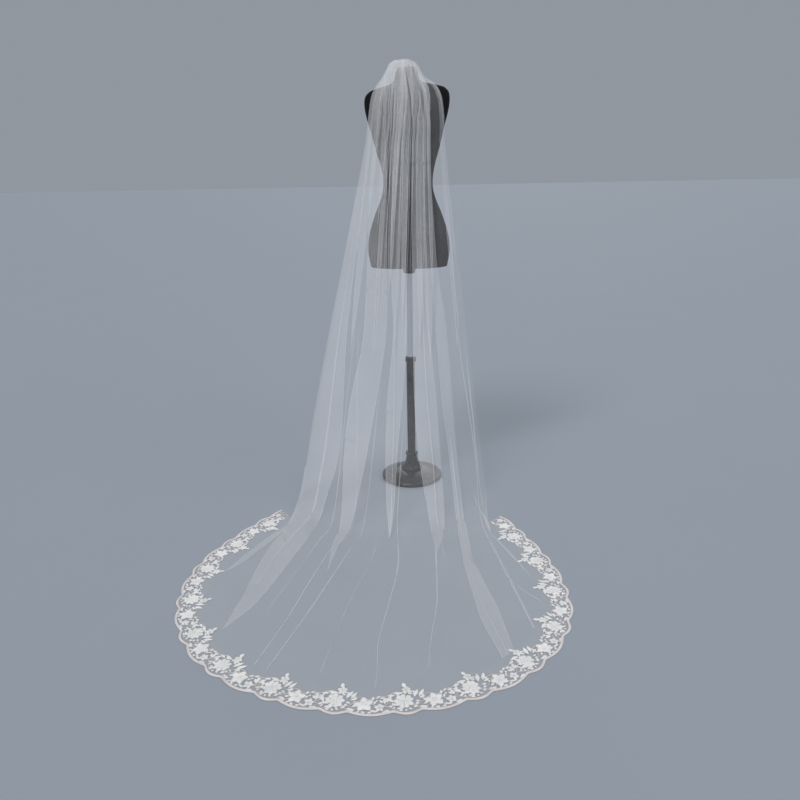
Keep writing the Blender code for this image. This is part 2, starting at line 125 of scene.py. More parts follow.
# Main folds: row, place of the left edge and place of the right edge. A fold ends where its edges meet.
MAIN_FOLDS = {
    "left sweep": ((0.0, 0.03, 0.13), (1.0, 0.03, 0.12), (1.20, 0.01, 0.13), (1.47, 0.0, 0.139),
                   (1.65, 0.0, 0.175), (1.78, 0.0, 0.194), (1.95, 0.010, 0.133), (2.20, 0.036, 0.160),
                   (2.38, 0.055, 0.174), (2.58, 0.102, 0.189), (2.74, 0.142, 0.195), (2.96, 0.177, 0.178)),
    "left of the pole": ((0.0, 0.16, 0.28), (0.70, 0.16, 0.30), (0.99, 0.19, 0.33), (1.13, 0.22, 0.38),
                         (1.45, 0.274, 0.422), (1.63, 0.223, 0.376), (1.77, 0.216, 0.341),
                         (1.94, 0.235, 0.296), (2.05, 0.239, 0.275), (2.33, 0.310, 0.312)),
    "before the pole": ((0.0, 0.40, 0.535), (1.0, 0.405, 0.53), (1.27, 0.415, 0.53), (1.45, 0.461, 0.551),
                        (1.62, 0.435, 0.529), (1.75, 0.436, 0.508), (1.92, 0.459, 0.499),
                        (1.98, 0.483, 0.484)),
    "right of the pole": ((0.0, 0.54, 0.65), (0.73, 0.54, 0.65), (1.06, 0.545, 0.655), (1.28, 0.565, 0.68),
                          (1.45, 0.576, 0.690), (1.63, 0.589, 0.731), (1.765, 0.614, 0.745),
                          (1.95, 0.672, 0.759), (2.06, 0.690, 0.730), (2.16, 0.689, 0.699),
                          (2.53, 0.684, 0.692), (2.77, 0.663, 0.669), (2.92, 0.660, 0.660)),
    "right sweep": ((0.0, 0.665, 0.715), (1.07, 0.672, 0.715), (1.29, 0.690, 0.755), (1.46, 0.726, 0.819),
                    (1.65, 0.749, 0.835), (1.79, 0.782, 0.841), (1.97, 0.807, 0.855), (2.33, 0.786, 0.824),
                    (2.75, 0.789, 0.844), (2.98, 0.809, 0.841), (3.0, 0.810, 0.840)),
    "left line": ((1.40, 0.21, 0.21), (1.60, 0.25, 0.256), (1.89, 0.308, 0.314), (2.16, 0.258, 0.264),
                  (2.68, 0.291, 0.298), (3.00, 0.297, 0.302)),
    "second left line": ((1.50, 0.40, 0.40), (1.88, 0.359, 0.364), (2.08, 0.330, 0.336), (2.61, 0.330, 0.340),
                         (3.00, 0.327, 0.331)),
    "third left line": ((1.95, 0.42, 0.42), (2.16, 0.438, 0.442), (2.49, 0.426, 0.432), (2.81, 0.434, 0.438),
                        (2.95, 0.438, 0.438)),
    "middle line": ((1.62, 0.54, 0.54), (1.92, 0.509, 0.515), (2.17, 0.542, 0.553), (2.31, 0.546, 0.555),
                    (2.74, 0.537, 0.543), (2.95, 0.555, 0.558), (3.0, 0.556, 0.556)),
    "outer line": ((1.05, 0.880, 0.900), (1.53, 0.905, 0.919), (1.69, 0.934, 0.942), (1.88, 0.955, 0.962),
                   (2.15, 0.905, 0.915), (2.49, 0.900, 0.914), (3.00, 0.897, 0.905)),
    "edge line": ((1.50, 0.970, 0.970), (1.70, 0.962, 0.968), (1.99, 0.957, 0.963), (2.30, 0.925, 0.930),
                  (2.58, 0.892, 0.897), (3.00, 0.956, 0.960)),
    "sweep line": ((1.30, 0.10, 0.10), (1.50, 0.085, 0.097), (1.78, 0.105, 0.115), (2.00, 0.085, 0.093),
                   (2.30, 0.100, 0.106), (2.60, 0.140, 0.143), (2.80, 0.160, 0.160)),
    "left wing": ((1.90, 0.0, 0.0), (2.10, 0.002, 0.030), (2.40, 0.012, 0.046), (2.70, 0.022, 0.050),
                  (2.95, 0.034, 0.034)),
    "right sweep line": ((1.70, 0.80, 0.80), (1.95, 0.824, 0.832), (2.20, 0.808, 0.813), (2.60, 0.800, 0.804),
                         (2.95, 0.822, 0.826), (3.0, 0.823, 0.823)),
    "right wing": ((1.95, 0.925, 0.925), (2.20, 0.935, 0.960), (2.45, 0.955, 0.985), (2.75, 0.975, 0.992),
                   (2.95, 0.985, 0.985)),
    "far left line": ((1.40, 0.20, 0.20), (1.60, 0.196, 0.203), (1.85, 0.200, 0.207), (2.05, 0.190, 0.196),
                      (2.40, 0.215, 0.219), (2.75, 0.235, 0.235)),
    "pole line": ((1.10, 0.455, 0.455), (1.30, 0.455, 0.463), (1.62, 0.475, 0.483), (1.85, 0.480, 0.486),
                  (1.97, 0.484, 0.484)),
    "blade line": ((1.10, 0.62, 0.62), (1.30, 0.625, 0.635), (1.60, 0.655, 0.667), (1.80, 0.690, 0.700),
                   (2.00, 0.715, 0.721), (2.30, 0.730, 0.730)),
}
WIDE_FOLDS = 5                # the first of them, which belly out
SMALL_FOLDS = 24
SMALL_FOLD_SEED = 11
SMALL_FOLD_WIDEST = 0.048
SMALL_FOLD_SHARES = (0.0, 0.26, 0.76, 0.90, 0.901, 1.0)    # share of the small folds up to each place
SMALL_FOLD_PLACES = (0.015, 0.34, 0.58, 0.70, 0.85, 0.985)
ORDER_ROW = 1.35              # down to it the folds keep the order that they have there
PRESSED_WIDTH = 0.006         # a fold as wide as this, or wider, is fully pressed
FOLD_LINE_WIDTH = 0.0022
FLOOR_GAP = 0.0005            # least height of the cloth over the floor

BRAID_WIDTH = 0.0058          # of the edging between the two outer cords
END_MARGIN = 0.10             # repeats at the lace's ends that stay without petals
LACE_HOLE = 0.0026            # of the lace's ground
LACE_CUT = (3.0, 0.1)         # nominal length and width, for counting its holes

FOOT_RIM = 0.018              # height of the foot's rim, and its rounding
RIM_ROUND = 0.007
BOOT_WAIST = 0.066            # height over its base where the boot has narrowed to the pole
GROOVES = 8                   # round the collar
GROOVE_DEPTH = 0.0006

COMB_TEETH = 12
COMB_WIRE = 0.0009            # radius
BAR_WIRE = 0.0011
BINDING_TURNS = 46            # of the thread round the comb's bar
BINDING_RADIUS = 0.0016

FLOOR_REACH = 60.0
LAMPS = (                     # name, the way it shines, softness in degrees, share of the key light
    ("key_sun", (0.45, 0.72, -0.95), 26.0, 1.0),
    ("fill_sun", (-0.85, 0.45, -0.60), 40.0, 0.35),
    ("back_sun", (-0.15, -0.90, -0.70), 40.0, 0.30),
)


# ---------------------------------------------------------------- settings
def in_metres(name, description, default, **limits):
    """A setting in metres."""
    return bpy.props.FloatProperty(
        name=name, description=description, default=default, unit="LENGTH", **limits)


def in_shares(name, description, default):
    """A setting from 0 to 1."""
    return bpy.props.FloatProperty(
        name=name, description=description, default=default, min=0.0, max=1.0, subtype="FACTOR")


def plain_number(name, description, default, **limits):
    """A plain number."""
    return bpy.props.FloatProperty(name=name, description=description, default=default, **limits)


def whole_number(name, description, default, least):
    """A whole number."""
    return bpy.props.IntProperty(name=name, description=description, default=default, min=least)


def in_degrees(name, description, degrees):
    """An angle, given in degrees."""
    return bpy.props.FloatProperty(
        name=name, description=description, default=math.radians(degrees), subtype="ANGLE")


def a_colour(name, description, default):
    """A colour."""
    return bpy.props.FloatVectorProperty(
        name=name, description=description, default=default, size=3, min=0.0, max=1.0, subtype="COLOR")


class TulleSettings(bpy.types.PropertyGroup):
    """The panel's cut, its folds and its net."""
    panel_width: in_metres("Panel width", "Width the tulle was cut to", 1.6, min=0.5)
    columns: whole_number("Columns", "Faces across the panel", 680, 80)
    layer_cover: in_shares("Layer cover", "Share of what is behind that one layer of net hides", 0.09)
    edge_cover: in_shares("Fold line cover", "What a pressed fold line hides on top of that", 0.38)
    colour: a_colour("Thread colour", "Colour of the tulle's threads", (0.90, 0.89, 0.90))
    net_size: in_metres("Net size", "Width of one hole of the net", 0.0016, min=0.0005)
    swell: in_metres("Fold swell", "How far the hanging folds belly out", 0.006)


class LaceSettings(bpy.types.PropertyGroup):
    """The border's repeat, its width and its colours."""
    repeats: plain_number("Repeats", "Repeats of the pattern round the train", 15.29, min=1.0)
    width: in_metres("Width", "From the scallops' valleys to the inner edge", 0.090)
    scallop: in_metres("Scallop", "How far the lobes stand out", 0.012)
    cord_radius: in_metres("Cord radius", "Radius of the cord along the lobes", 0.0012)
    colour: a_colour("Petal colour", "Colour of the worked petals", (0.88, 0.86, 0.84))
    cord_colour: a_colour("Cord colour", "Colour of the outlining cord", (0.84, 0.71, 0.67))
    seed: whole_number("Seed", "Varies the petals a little", 5, 0)


class FormSettings(bpy.types.PropertyGroup):
    """The dress form's cover."""
    colour: a_colour("Jersey colour", "Colour of the stretched cover", (0.0045, 0.0045, 0.005))
    rings: whole_number("Rings", "Rings up the form", 150, 20)
    sides: whole_number("Sides", "Points round each ring", 128, 16)
    seam_depth: in_metres("Seam depth", "How deep the cover's seams lie", 0.0007)


class StandSettings(bpy.types.PropertyGroup):
    """The foot, the pole and the comb."""
    enamel_colour: a_colour("Enamel colour", "Colour of the foot and the pole", (0.006, 0.006, 0.007))
    chrome_colour: a_colour("Chrome colour", "Colour of the rod", (0.78, 0.79, 0.81))
    wire_colour: a_colour("Wire colour", "Colour of the comb", (0.70, 0.70, 0.72))
    sides: whole_number("Sides", "Points round each turned piece", 96, 12)


class StageSettings(bpy.types.PropertyGroup):
    """Floor, light and camera."""
    floor_colour: a_colour("Floor colour", "Colour of the floor", (0.285, 0.315, 0.355))
    sky_colour: a_colour("Surround colour", "Colour of the soft surround", (0.56, 0.62, 0.70))
    sky_strength: plain_number("Surround strength", "Brightness of the surround", 0.50, min=0.0)
    key_power: plain_number("Key light", "Strength of the main sun, in watts a square metre", 1.9, min=0.0)
    camera_place: bpy.props.FloatVectorProperty(
        name="Camera place", description="Where the camera stands", default=(-0.049, -2.980, 1.352), size=3,
        subtype="TRANSLATION", unit="LENGTH")
    camera_pitch: in_degrees("Camera pitch", "How far it looks down", 18.25)
    camera_roll: in_degrees("Camera roll", "How far it leans", -1.06)
    lens: plain_number("Lens", "Focal length in millimetres", 31.5)


# ---------------------------------------------------------------- meshes
def grid_faces(rows, columns, wrap=False):
    """Corners of a grid's faces, as indices, and the share across and along of each corner, for its UV."""
    spans = columns if wrap else columns - 1
    row, column = (v.ravel() for v in np.meshgrid(np.arange(rows - 1), np.arange(spans), indexing="ij"))
    corner_row = np.stack([row, row, row + 1, row + 1], axis=1)
    corner_column = np.stack([column, column + 1, column + 1, column], axis=1)
    index = corner_row * columns + corner_column % columns
    return index, np.stack([corner_column / spans, corner_row / (rows - 1)], axis=2)


def add_piece(name, points, faces, uv, material, values=None, weld=False):
    """Makes an object of four-cornered faces, with a UV map and one value a point where values names them."""
    mesh = bpy.data.meshes.new(name)
    mesh.vertices.add(len(points))
    mesh.vertices.foreach_set("co", np.asarray(points, np.float32).ravel())
    mesh.loops.add(faces.size)
    mesh.loops.foreach_set("vertex_index", faces.astype(np.int32).ravel())
    mesh.polygons.add(len(faces))
    mesh.polygons.foreach_set("loop_start", np.arange(0, faces.size, 4, dtype=np.int32))
    mesh.polygons.foreach_set("use_smooth", np.ones(len(faces), bool))
    mesh.update(calc_edges=True)
    layer = mesh.uv_layers.new(name="UVMap")
    layer.data.foreach_set("uv", np.asarray(uv, np.float32).ravel())
    for key, numbers in (values or {}).items():
        attribute = mesh.attributes.new(key, "FLOAT", "POINT")
        attribute.data.foreach_set("value", np.asarray(numbers, np.float32).ravel())
    if weld:
        work = bmesh.new()
        work.from_mesh(mesh)
        bmesh.ops.remove_doubles(work, verts=work.verts, dist=1e-6)
        bmesh.ops.recalc_face_normals(work, faces=work.faces)
        work.to_mesh(mesh)
        work.free()
    mesh.validate()
    mesh.materials.append(material)
    piece = bpy.data.objects.new(name, mesh)
    bpy.context.scene.collection.objects.link(piece)
    return piece


def stack_grids(grids, wrap=False):
    """Joins grids of one size, shaped (grids, rows, columns, 3), into points, faces and UVs."""
    count, rows, columns = grids.shape[:3]
    faces, uv = grid_faces(rows, columns, wrap)
    offsets = np.arange(count)[:, None, None] * rows * columns
    return grids.reshape(-1, 3), (faces[None] + offsets).reshape(-1, 4), np.tile(uv, (count, 1, 1))


def join_parts(parts):
    """Joins several (points, faces, UVs) into one."""
    offset = 0
    points, faces, uvs = [], [], []
    for part_points, part_faces, part_uv in parts:
        points.append(part_points)
        faces.append(part_faces + offset)
        uvs.append(part_uv)
        offset += len(part_points)
    return np.concatenate(points), np.concatenate(faces), np.concatenate(uvs)


def turned_grid(profile, sides):
    """Carries a profile of (radius, height) round the Z axis."""
    profile = np.asarray(profile, float)
    turn = np.arange(sides) * 2.0 * math.pi / sides
    radius, height = profile[:, :1], profile[:, 1:]
    points = np.stack([radius * np.cos(turn), radius * np.sin(turn), height + 0 * turn], axis=2)
    return (points.reshape(-1, 3), *grid_faces(len(profile), sides, wrap=True))


def bar_profile(radius, low, high, edge=0.001):
    """A straight bar's profile: small rounded edges, and loops beside them that keep its side straight."""
    half = [(0.0, 0.0), (radius - 3 * edge, 0.0), (radius - edge, 0.0), (radius - 0.3 * edge, 0.3 * edge),
            (radius, edge), (radius, 2 * edge), (radius, 4 * edge)]
    return [(r, low + z) for r, z in half] + [(r, high - z) for r, z in half[::-1]]


def tube_grid(path, radius, sides=8, up=(0.0, 0.0, 1.0)):
    """Carries a circle along a path, square to it. Its ends close on a point through a rounded shoulder."""
    path = np.asarray(path, float)
    along = np.gradient(path, axis=0)
    along /= np.linalg.norm(along, axis=1, keepdims=True)
    side = np.cross(along, np.asarray(up, float))
    side /= np.linalg.norm(side, axis=1, keepdims=True)
    over = np.cross(side, along)
    radii = np.broadcast_to(np.asarray(radius, float), len(path))
    tips = np.array([(0.0, 1.0), (0.7, 0.7)])     # width and reach of each end's rings, in radii
    centre = np.concatenate([path[0] - along[0] * radii[0] * tips[:, 1:], path,
                             path[-1] + along[-1] * radii[-1] * tips[::-1, 1:]])[:, None]
    width = np.concatenate([radii[0] * tips[:, 0], radii, radii[-1] * tips[::-1, 0]])[:, None, None]
    across, upward = (np.pad(way, ((2, 2), (0, 0)), mode="edge")[:, None] for way in (side, over))
    turn = (np.arange(sides) * 2.0 * math.pi / sides)[None, :, None]
    points = centre + width * (across * np.cos(turn) + upward * np.sin(turn))
    return (points.reshape(-1, 3), *grid_faces(len(centre), sides, wrap=True))


# ---------------------------------------------------------------- shader tools
def new_material(name):
    """A material, its nodes, its Principled shader, and the coordinates that its patterns read."""
    material = bpy.data.materials.new(name)
    material.use_nodes = True
    tree = material.node_tree
    return material, tree, tree.nodes["Principled BSDF"], tree.nodes.new("ShaderNodeTexCoord")


def wire(tree, node, inputs):
    """Fills a node's inputs with values, or with links from other nodes."""
    for key, value in inputs.items():
        if isinstance(value, bpy.types.NodeSocket):
            tree.links.new(value, node.inputs[key])
        else:
            node.inputs[key].default_value = value
    return node


def add_node(tree, kind, inputs=None, **settings):
    """Adds a node, sets its settings and fills its inputs."""
    node = tree.nodes.new(kind)
    for key, value in settings.items():
        setattr(node, key, value)
    return wire(tree, node, inputs or {})


def worked_out(tree, operation, *inputs, clamp=False):
    """The result of a sum, a product or the like."""
    node = add_node(tree, "ShaderNodeMath", dict(enumerate(inputs)), operation=operation, use_clamp=clamp)
    return node.outputs[0]


def new_group(name, inputs, outputs):
    """An empty node group with its sockets: its tree, its inputs' node and its outputs' node."""
    group = bpy.data.node_groups.new(name, "ShaderNodeTree")
    group.interface.new_socket("Vector", in_out="INPUT", socket_type="NodeSocketVector")
    for key, value in inputs.items():
        group.interface.new_socket(key, in_out="INPUT", socket_type="NodeSocketFloat").default_value = value
    for key in outputs:
        group.interface.new_socket(key, in_out="OUTPUT", socket_type="NodeSocketFloat")
    return group, add_node(group, "NodeGroupInput"), add_node(group, "NodeGroupOutput")


def grain_group():
    """Shared grain: soft mottling and fine grain on a position."""
    if "Fine grain" in bpy.data.node_groups:
        return bpy.data.node_groups["Fine grain"]
    group, source, target = new_group("Fine grain", {"Mottle Scale": 9.0, "Grain Scale": 700.0},
                                      ("Mottle", "Grain"))
    for key, detail in (("Mottle", 3.0), ("Grain", 2.0)):
        noise = add_node(group, "ShaderNodeTexNoise", {
            "Vector": source.outputs["Vector"], "Scale": source.outputs[key + " Scale"], "Detail": detail})
        wire(group, target, {key: noise.outputs["Fac"]})
    return group


def net_group():
    """Shared net: 1 on the threads round the holes of a net, 0 in the holes, on a UV counted in holes."""
    if "Net" in bpy.data.node_groups:
        return bpy.data.node_groups["Net"]
    group, source, target = new_group("Net", {"Thread": 0.12}, ("Threads",))
    cells = add_node(group, "ShaderNodeTexVoronoi", {
        "Vector": source.outputs["Vector"], "Scale": 1.0, "Randomness": 0.25},
        feature="DISTANCE_TO_EDGE", voronoi_dimensions="2D")
    wire(group, target, {"Threads": worked_out(
        group, "LESS_THAN", cells.outputs["Distance"], source.outputs["Thread"])})
    return group


def ranged(tree, value, low, high, from_low=0.3, from_high=0.7):
    """Stretches a value to a range. Noise mostly lies between 0.3 and 0.7."""
    node = add_node(tree, "ShaderNodeMapRange", {
        "Value": value, "From Min": from_low, "From Max": from_high, "To Min": low, "To Max": high})
    return node.outputs["Result"]


def tinted(tree, factor, dark, light):
    """Mixes two colours by a factor. A Mix node's colour sockets are its inputs 6 and 7, and output 2."""
    node = add_node(tree, "ShaderNodeMix", {"Factor": factor, 6: (*dark, 1.0), 7: (*light, 1.0)},
                    data_type="RGBA")
    return node.outputs[2]


def shaded(colour, share):
    """A share of a colour."""
    return tuple(min(1.0, c * share) for c in colour)


def grained(tree, place, mottle_scale, grain_scale):
    """The shared grain's mottling and grain on the object's own coordinates."""
    node = add_node(tree, "ShaderNodeGroup", node_tree=grain_group())
    wire(tree, node, {
        "Vector": place.outputs["Object"], "Mottle Scale": mottle_scale, "Grain Scale": grain_scale})
    return node.outputs["Mottle"], node.outputs["Grain"]


def on_uv(tree, place, scale):
    """The piece's UV, scaled."""
    node = add_node(tree, "ShaderNodeMapping", {"Vector": place.outputs["UV"], "Scale": scale})
    return node.outputs["Vector"]


def netted(tree, place, holes_across, holes_along):
    """The shared net, with so many holes across and along the piece."""
    node = add_node(tree, "ShaderNodeGroup", node_tree=net_group())
    wire(tree, node, {"Vector": on_uv(tree, place, (holes_across, holes_along, 1.0))})
    return node.outputs["Threads"]


def bumped(tree, height, strength, distance):
    """A normal from a height."""
    node = add_node(tree, "ShaderNodeBump", {"Height": height, "Strength": strength, "Distance": distance})
    return node.outputs["Normal"]


def tulle_material(name, settings, holes_across, holes_along):
    """Soft white net. Its cover is even over a layer, a little mottled, and denser on pressed fold lines."""
    material, tree, shader, place = new_material(name)
    threads = netted(tree, place, holes_across, holes_along)
    mottle, grain = grained(tree, place, 5.0, 210.0)
    cover = settings.layer_cover
    woven = ranged(tree, threads, cover * 0.72, cover * 1.60, 0.0, 1.0)
    mottled = ranged(tree, mottle, 0.86, 1.14)
    speckled = ranged(tree, grain, 0.72, 1.28)
    layer = worked_out(tree, "MULTIPLY", woven, worked_out(tree, "MULTIPLY", mottled, speckled))
    crease = add_node(tree, "ShaderNodeAttribute", attribute_name="fold_line").outputs["Fac"]
    wire(tree, shader, {
        "Alpha": worked_out(tree, "MULTIPLY_ADD", crease, settings.edge_cover, layer, clamp=True),
        "Base Color": tinted(tree, mottled, shaded(settings.colour, 0.93), settings.colour),
        "Roughness": 0.75, "Specular IOR Level": 0.30, "Sheen Weight": 0.35, "Sheen Roughness": 0.45})
    return material


def lace_net_material(settings):
    """The border's ground, a coarser net than the tulle's."""
    material, tree, shader, place = new_material("lace_net")
    threads = netted(tree, place, LACE_CUT[0] / LACE_HOLE, LACE_CUT[1] / LACE_HOLE)
    mottle, _ = grained(tree, place, 12.0, 500.0)
    wire(tree, shader, {
        "Alpha": ranged(tree, threads, 0.06, 0.24, 0.0, 1.0),
        "Base Color": tinted(tree, mottle, shaded(settings.colour, 0.90), settings.colour),
        "Roughness": 0.80})
    return material


def worked_material(name, colour, thread_count, bump, rim=0.0):
    """Worked thread: satin stitches along a petal or round a cord, with painted shade on the rims between
    petals.
    """
    material, tree, shader, place = new_material(name)
    waves = add_node(tree, "ShaderNodeTexWave", {
        "Vector": on_uv(tree, place, thread_count), "Scale": 1.0, "Distortion": 1.2, "Detail": 2.0},
        bands_direction="DIAGONAL").outputs["Fac"]
    mottle, grain = grained(tree, place, 26.0, 900.0)
    split = add_node(tree, "ShaderNodeSeparateXYZ", {"Vector": place.outputs["UV"]})
    centred = worked_out(tree, "ADD", split.outputs["X"], -0.5)
    # Painted shade: the colour darkens towards both sides across the UV, by as much as rim, where the petals
    # meet; the mottle on top is random tone.
    painted_rim_shade = ranged(tree, worked_out(tree, "ABSOLUTE", centred), 1.0, 1.0 - rim, 0.30, 0.50)
    light = worked_out(tree, "MULTIPLY", painted_rim_shade, ranged(tree, mottle, 0.75, 1.0))
    wire(tree, shader, {
        "Normal": bumped(tree, worked_out(tree, "ADD", waves, grain), 0.6, bump),
        "Base Color": tinted(tree, light, shaded(colour, 0.34), colour),
        "Roughness": ranged(tree, waves, 0.72, 0.55, 0.0, 1.0), "Sheen Weight": 0.25})
    return material


def jersey_material(settings):
    """Stretched black knit: fine rows of loops, a dull sheen and a little lint."""
    material, tree, shader, place = new_material("form_jersey")
    wales_and_courses = on_uv(tree, place, (620.0, 560.0, 1.0))
    courses, wales = (
        add_node(tree, "ShaderNodeTexWave", {
            "Vector": wales_and_courses, "Scale": 0.5, "Distortion": distortion},
            bands_direction=direction).outputs["Fac"]
        for direction, distortion in (("Y", 0.6), ("X", 0.4)))
    mottle, grain = grained(tree, place, 7.0, 380.0)
    lint = ranged(tree, grain, 0.0, 1.0, 0.55, 0.80)
    wire(tree, shader, {
        "Normal": bumped(tree, worked_out(tree, "MULTIPLY", courses, wales), 0.4, 0.0003),
        "Base Color": tinted(tree, lint, settings.colour, shaded(settings.colour, 2.2)),
        "Roughness": ranged(tree, mottle, 0.70, 0.86),
        "Sheen Weight": 0.02, "Sheen Roughness": 0.35, "Specular IOR Level": 0.12})
    return material


def metal_material(name, colour, roughness, metallic, coat, wear):
    """Enamel, chrome or wire: fine handling marks in the gloss, and faint dust in the colour."""
    material, tree, shader, place = new_material(name)
    mottle, grain = grained(tree, place, 14.0, 240.0)
    wire(tree, shader, {
        "Base Color": tinted(tree, ranged(tree, mottle, 0.0, 1.0), colour, shaded(colour, 1.0 + wear)),
        "Roughness": ranged(tree, mottle, roughness * 0.75, roughness * 1.35),
        "Normal": bumped(tree, grain, 0.03, 0.0002), "Metallic": metallic,
        "Specular IOR Level": 0.5 if metallic else 0.20, "Coat Weight": coat, "Coat Roughness": 0.08})
    return material


def floor_material(colour):
    """A plain matt floor, hardly mottled."""
    material, tree, shader, place = new_material("floor")
    mottle, _ = grained(tree, place, 1.5, 90.0)
    wire(tree, shader, {"Base Color": tinted(tree, mottle, shaded(colour, 0.985), shaded(colour, 1.015)),
                        "Roughness": 0.75, "Specular IOR Level": 0.2})
    return material


# ---------------------------------------------------------------- the veil's base surface
def smooth_through(values, places, table):
    """Reads a table's columns at the given places with a smooth (Catmull-Rom) curve through its rows."""
    table = np.asarray(table, float)
    padded = np.vstack([2 * table[0] - table[1], table, 2 * table[-1] - table[-2]])
    spot = np.interp(places, values, np.arange(len(values)))
    k = np.clip(spot.astype(int), 0, len(values) - 2)
    f = (spot - k)[:, None]
    p0, p1, p2, p3 = padded[k], padded[k + 1], padded[k + 2], padded[k + 3]
    return 0.5 * (2 * p1 + (p2 - p0) * f + (2 * p0 - 5 * p1 + 4 * p2 - p3) * f**2
                  + (3 * p1 - p0 - 3 * p2 + p3) * f**3)


def gathers_surface(a, places):
    """Bowed rows: x and y run round a half ellipse, and z dips from the middle to the ends with sin^1.5."""
    rows = smooth_through(np.linspace(0, 1, len(GATHER_ROWS)), places, GATHER_ROWS)
    half, middle, end_y, bow, z_middle, z_end = (v[:, None] for v in rows.T)
    turn = math.pi * (1.0 - a)[None, :]
    x = middle + half * np.cos(turn)
    y = end_y - bow * np.sin(turn)
    z = z_end + (z_middle - z_end) * np.sin(turn) ** 1.5
    return np.stack([x, y, z], axis=2)


def touch_line(a):
    """Where each thread of the veil reaches the floor: a bowed line from edge to edge."""
    x = TOUCH_LEFT[0] + (TOUCH_RIGHT[0] - TOUCH_LEFT[0]) * a
    y = TOUCH_LEFT[1] + (TOUCH_RIGHT[1] - TOUCH_LEFT[1]) * a
    y = y - TOUCH_BOW * (1.0 - (2.0 * a - 1.0) ** 2) ** TOUCH_ROUNDNESS
    return x, y


def catenary_scale(span, rise):
    """The scale c of a catenary that is level at its foot and climbs rise over span, by bisection."""
    low, high = span / 40.0, span * 40.0
    for _ in range(60):
        c = np.sqrt(low * high)
        too_high = c * (np.cosh(np.minimum(span / c, 40.0)) - 1.0) > rise
        low = np.where(too_high, c, low)
        high = np.where(too_high, high, c)
    return c


def fall_surface(a, places):
    """Each thread hangs as a catenary from the shoulder blades (0), and lies level where it touches (1)."""
    top = gathers_surface(a, np.array([1.0]))[0]
    foot_x, foot_y = touch_line(a)
    span = top[:, 1] - foot_y
    scale = catenary_scale(span, top[:, 2])
    whole = scale * np.sinh(span / scale)
    left = 1.0 - places[:, None]
    reach = scale * np.arcsinh(left * whole / scale)
    x = foot_x + (top[:, 0] - foot_x) * left
    y = foot_y + reach
    z = scale * (np.cosh(reach / scale) - 1.0)
    return np.stack([x, y, z], axis=2)


def hem_line(share, inset):
    """A line round the train from the lace's left end (0) to its right end (1), inset from the valleys."""
    stations = np.asarray(HEM_STATIONS)
    angle = stations[0, 0] + (stations[-1, 0] - stations[0, 0]) * share
    radius = smooth_through(stations[:, 0], angle, stations[:, 1:])[:, 0] - inset
    angle = np.radians(angle)
    return TRAIN_CENTRE[0] + radius * np.cos(angle), TRAIN_CENTRE[1] + radius * np.sin(angle)


def hem_share(a, width):
    """Where round the lace a thread of the flat panel ends: a straight side, a round corner, the bottom."""
    from_side = np.minimum(a, 1.0 - a) * width
    turn = np.arccos(np.clip(1.0 - from_side / CORNER_RADIUS, 0.0, 1.0))
    along = CORNER_RADIUS * turn + np.maximum(from_side - CORNER_RADIUS, 0.0)
    half = CORNER_RADIUS * math.pi / 2 + width / 2 - CORNER_RADIUS
    left, right = ((side + along) / (side + half) for side in SIDE_LACE)
    return np.where(a < 0.5, 0.5 * left, 1.0 - 0.5 * right)


def train_surface(a, places, width, lace_width):
    """Threads run straight on the floor from the touch line (0) to the lace (1).

    The panel's own edges run straight to the lace's ends and then along it, and the threads near them follow.
    """
    foot_x, foot_y = touch_line(a)
    share = hem_share(a, width)
    hem_x, hem_y = hem_line(share, lace_width)
    f = places[:, None]
    x = foot_x + (hem_x - foot_x) * f
    y = foot_y + (hem_y - foot_y) * f
    for side, edge in ((0, 0.0), (-1, 1.0)):
        beside = np.clip((places - CORNER_START) / (1.0 - CORNER_START), 0.0, 1.0)
        line_x, line_y = hem_line(edge + (share[side] - edge) * beside, lace_width)
        lead = np.clip(places / CORNER_START, 0.0, 1.0)
        before = places < CORNER_START
        line_x = np.where(before, foot_x[side] + (line_x - foot_x[side]) * lead, line_x)
        line_y = np.where(before, foot_y[side] + (line_y - foot_y[side]) * lead, line_y)
        weight = np.clip(1.0 - np.abs(a - edge) / CORNER_REACH, 0.0, 1.0) ** 2
        x = x + (line_x - x[:, side])[:, None] * weight
        y = y + (line_y - y[:, side])[:, None] * weight
    return np.stack([x, y, np.zeros_like(x)], axis=2)


def veil_surface(rows, a, width, lace_width):
    """The panel's base surface over rows 0 to 3 and places a."""
    return np.concatenate([
        gathers_surface(a, rows[rows <= 1.0]),
        fall_surface(a, rows[(rows > 1.0) & (rows <= 2.0)] - 1.0),
        train_surface(a, rows[rows > 2.0] - 2.0, width, lace_width)])


def unit(vectors):
    """Vectors at length 1."""
    return vectors / np.maximum(np.linalg.norm(vectors, axis=-1, keepdims=True), 1e-12)


def surface_frame(grid):
    """Normals that face out and up, and how far across the threads each point lies from the left edge."""
    across = np.gradient(grid, axis=1)
    along = unit(np.gradient(grid, axis=0))
    normals = unit(np.cross(across, along))
    if normals[-1, :, 2].mean() < 0.0:
        normals = -normals
    step = np.diff(grid, axis=1)
    thread = unit(along[:, 1:] + along[:, :-1])
    widths = np.linalg.norm(np.cross(step, thread), axis=2)
    reach = np.concatenate([np.zeros((len(grid), 1)), np.cumsum(widths, axis=1)], axis=1)
    return normals, reach


# ---------------------------------------------------------------- the folds
def softened(rows, values, spread):
    """Evens a curve out over a short stretch of rows, so that folds bend instead of breaking."""
    shifts = np.linspace(-1.0, 1.0, 9) * spread
    return lambda at: np.mean([np.interp(at + s, rows, values) for s in shifts], axis=0)


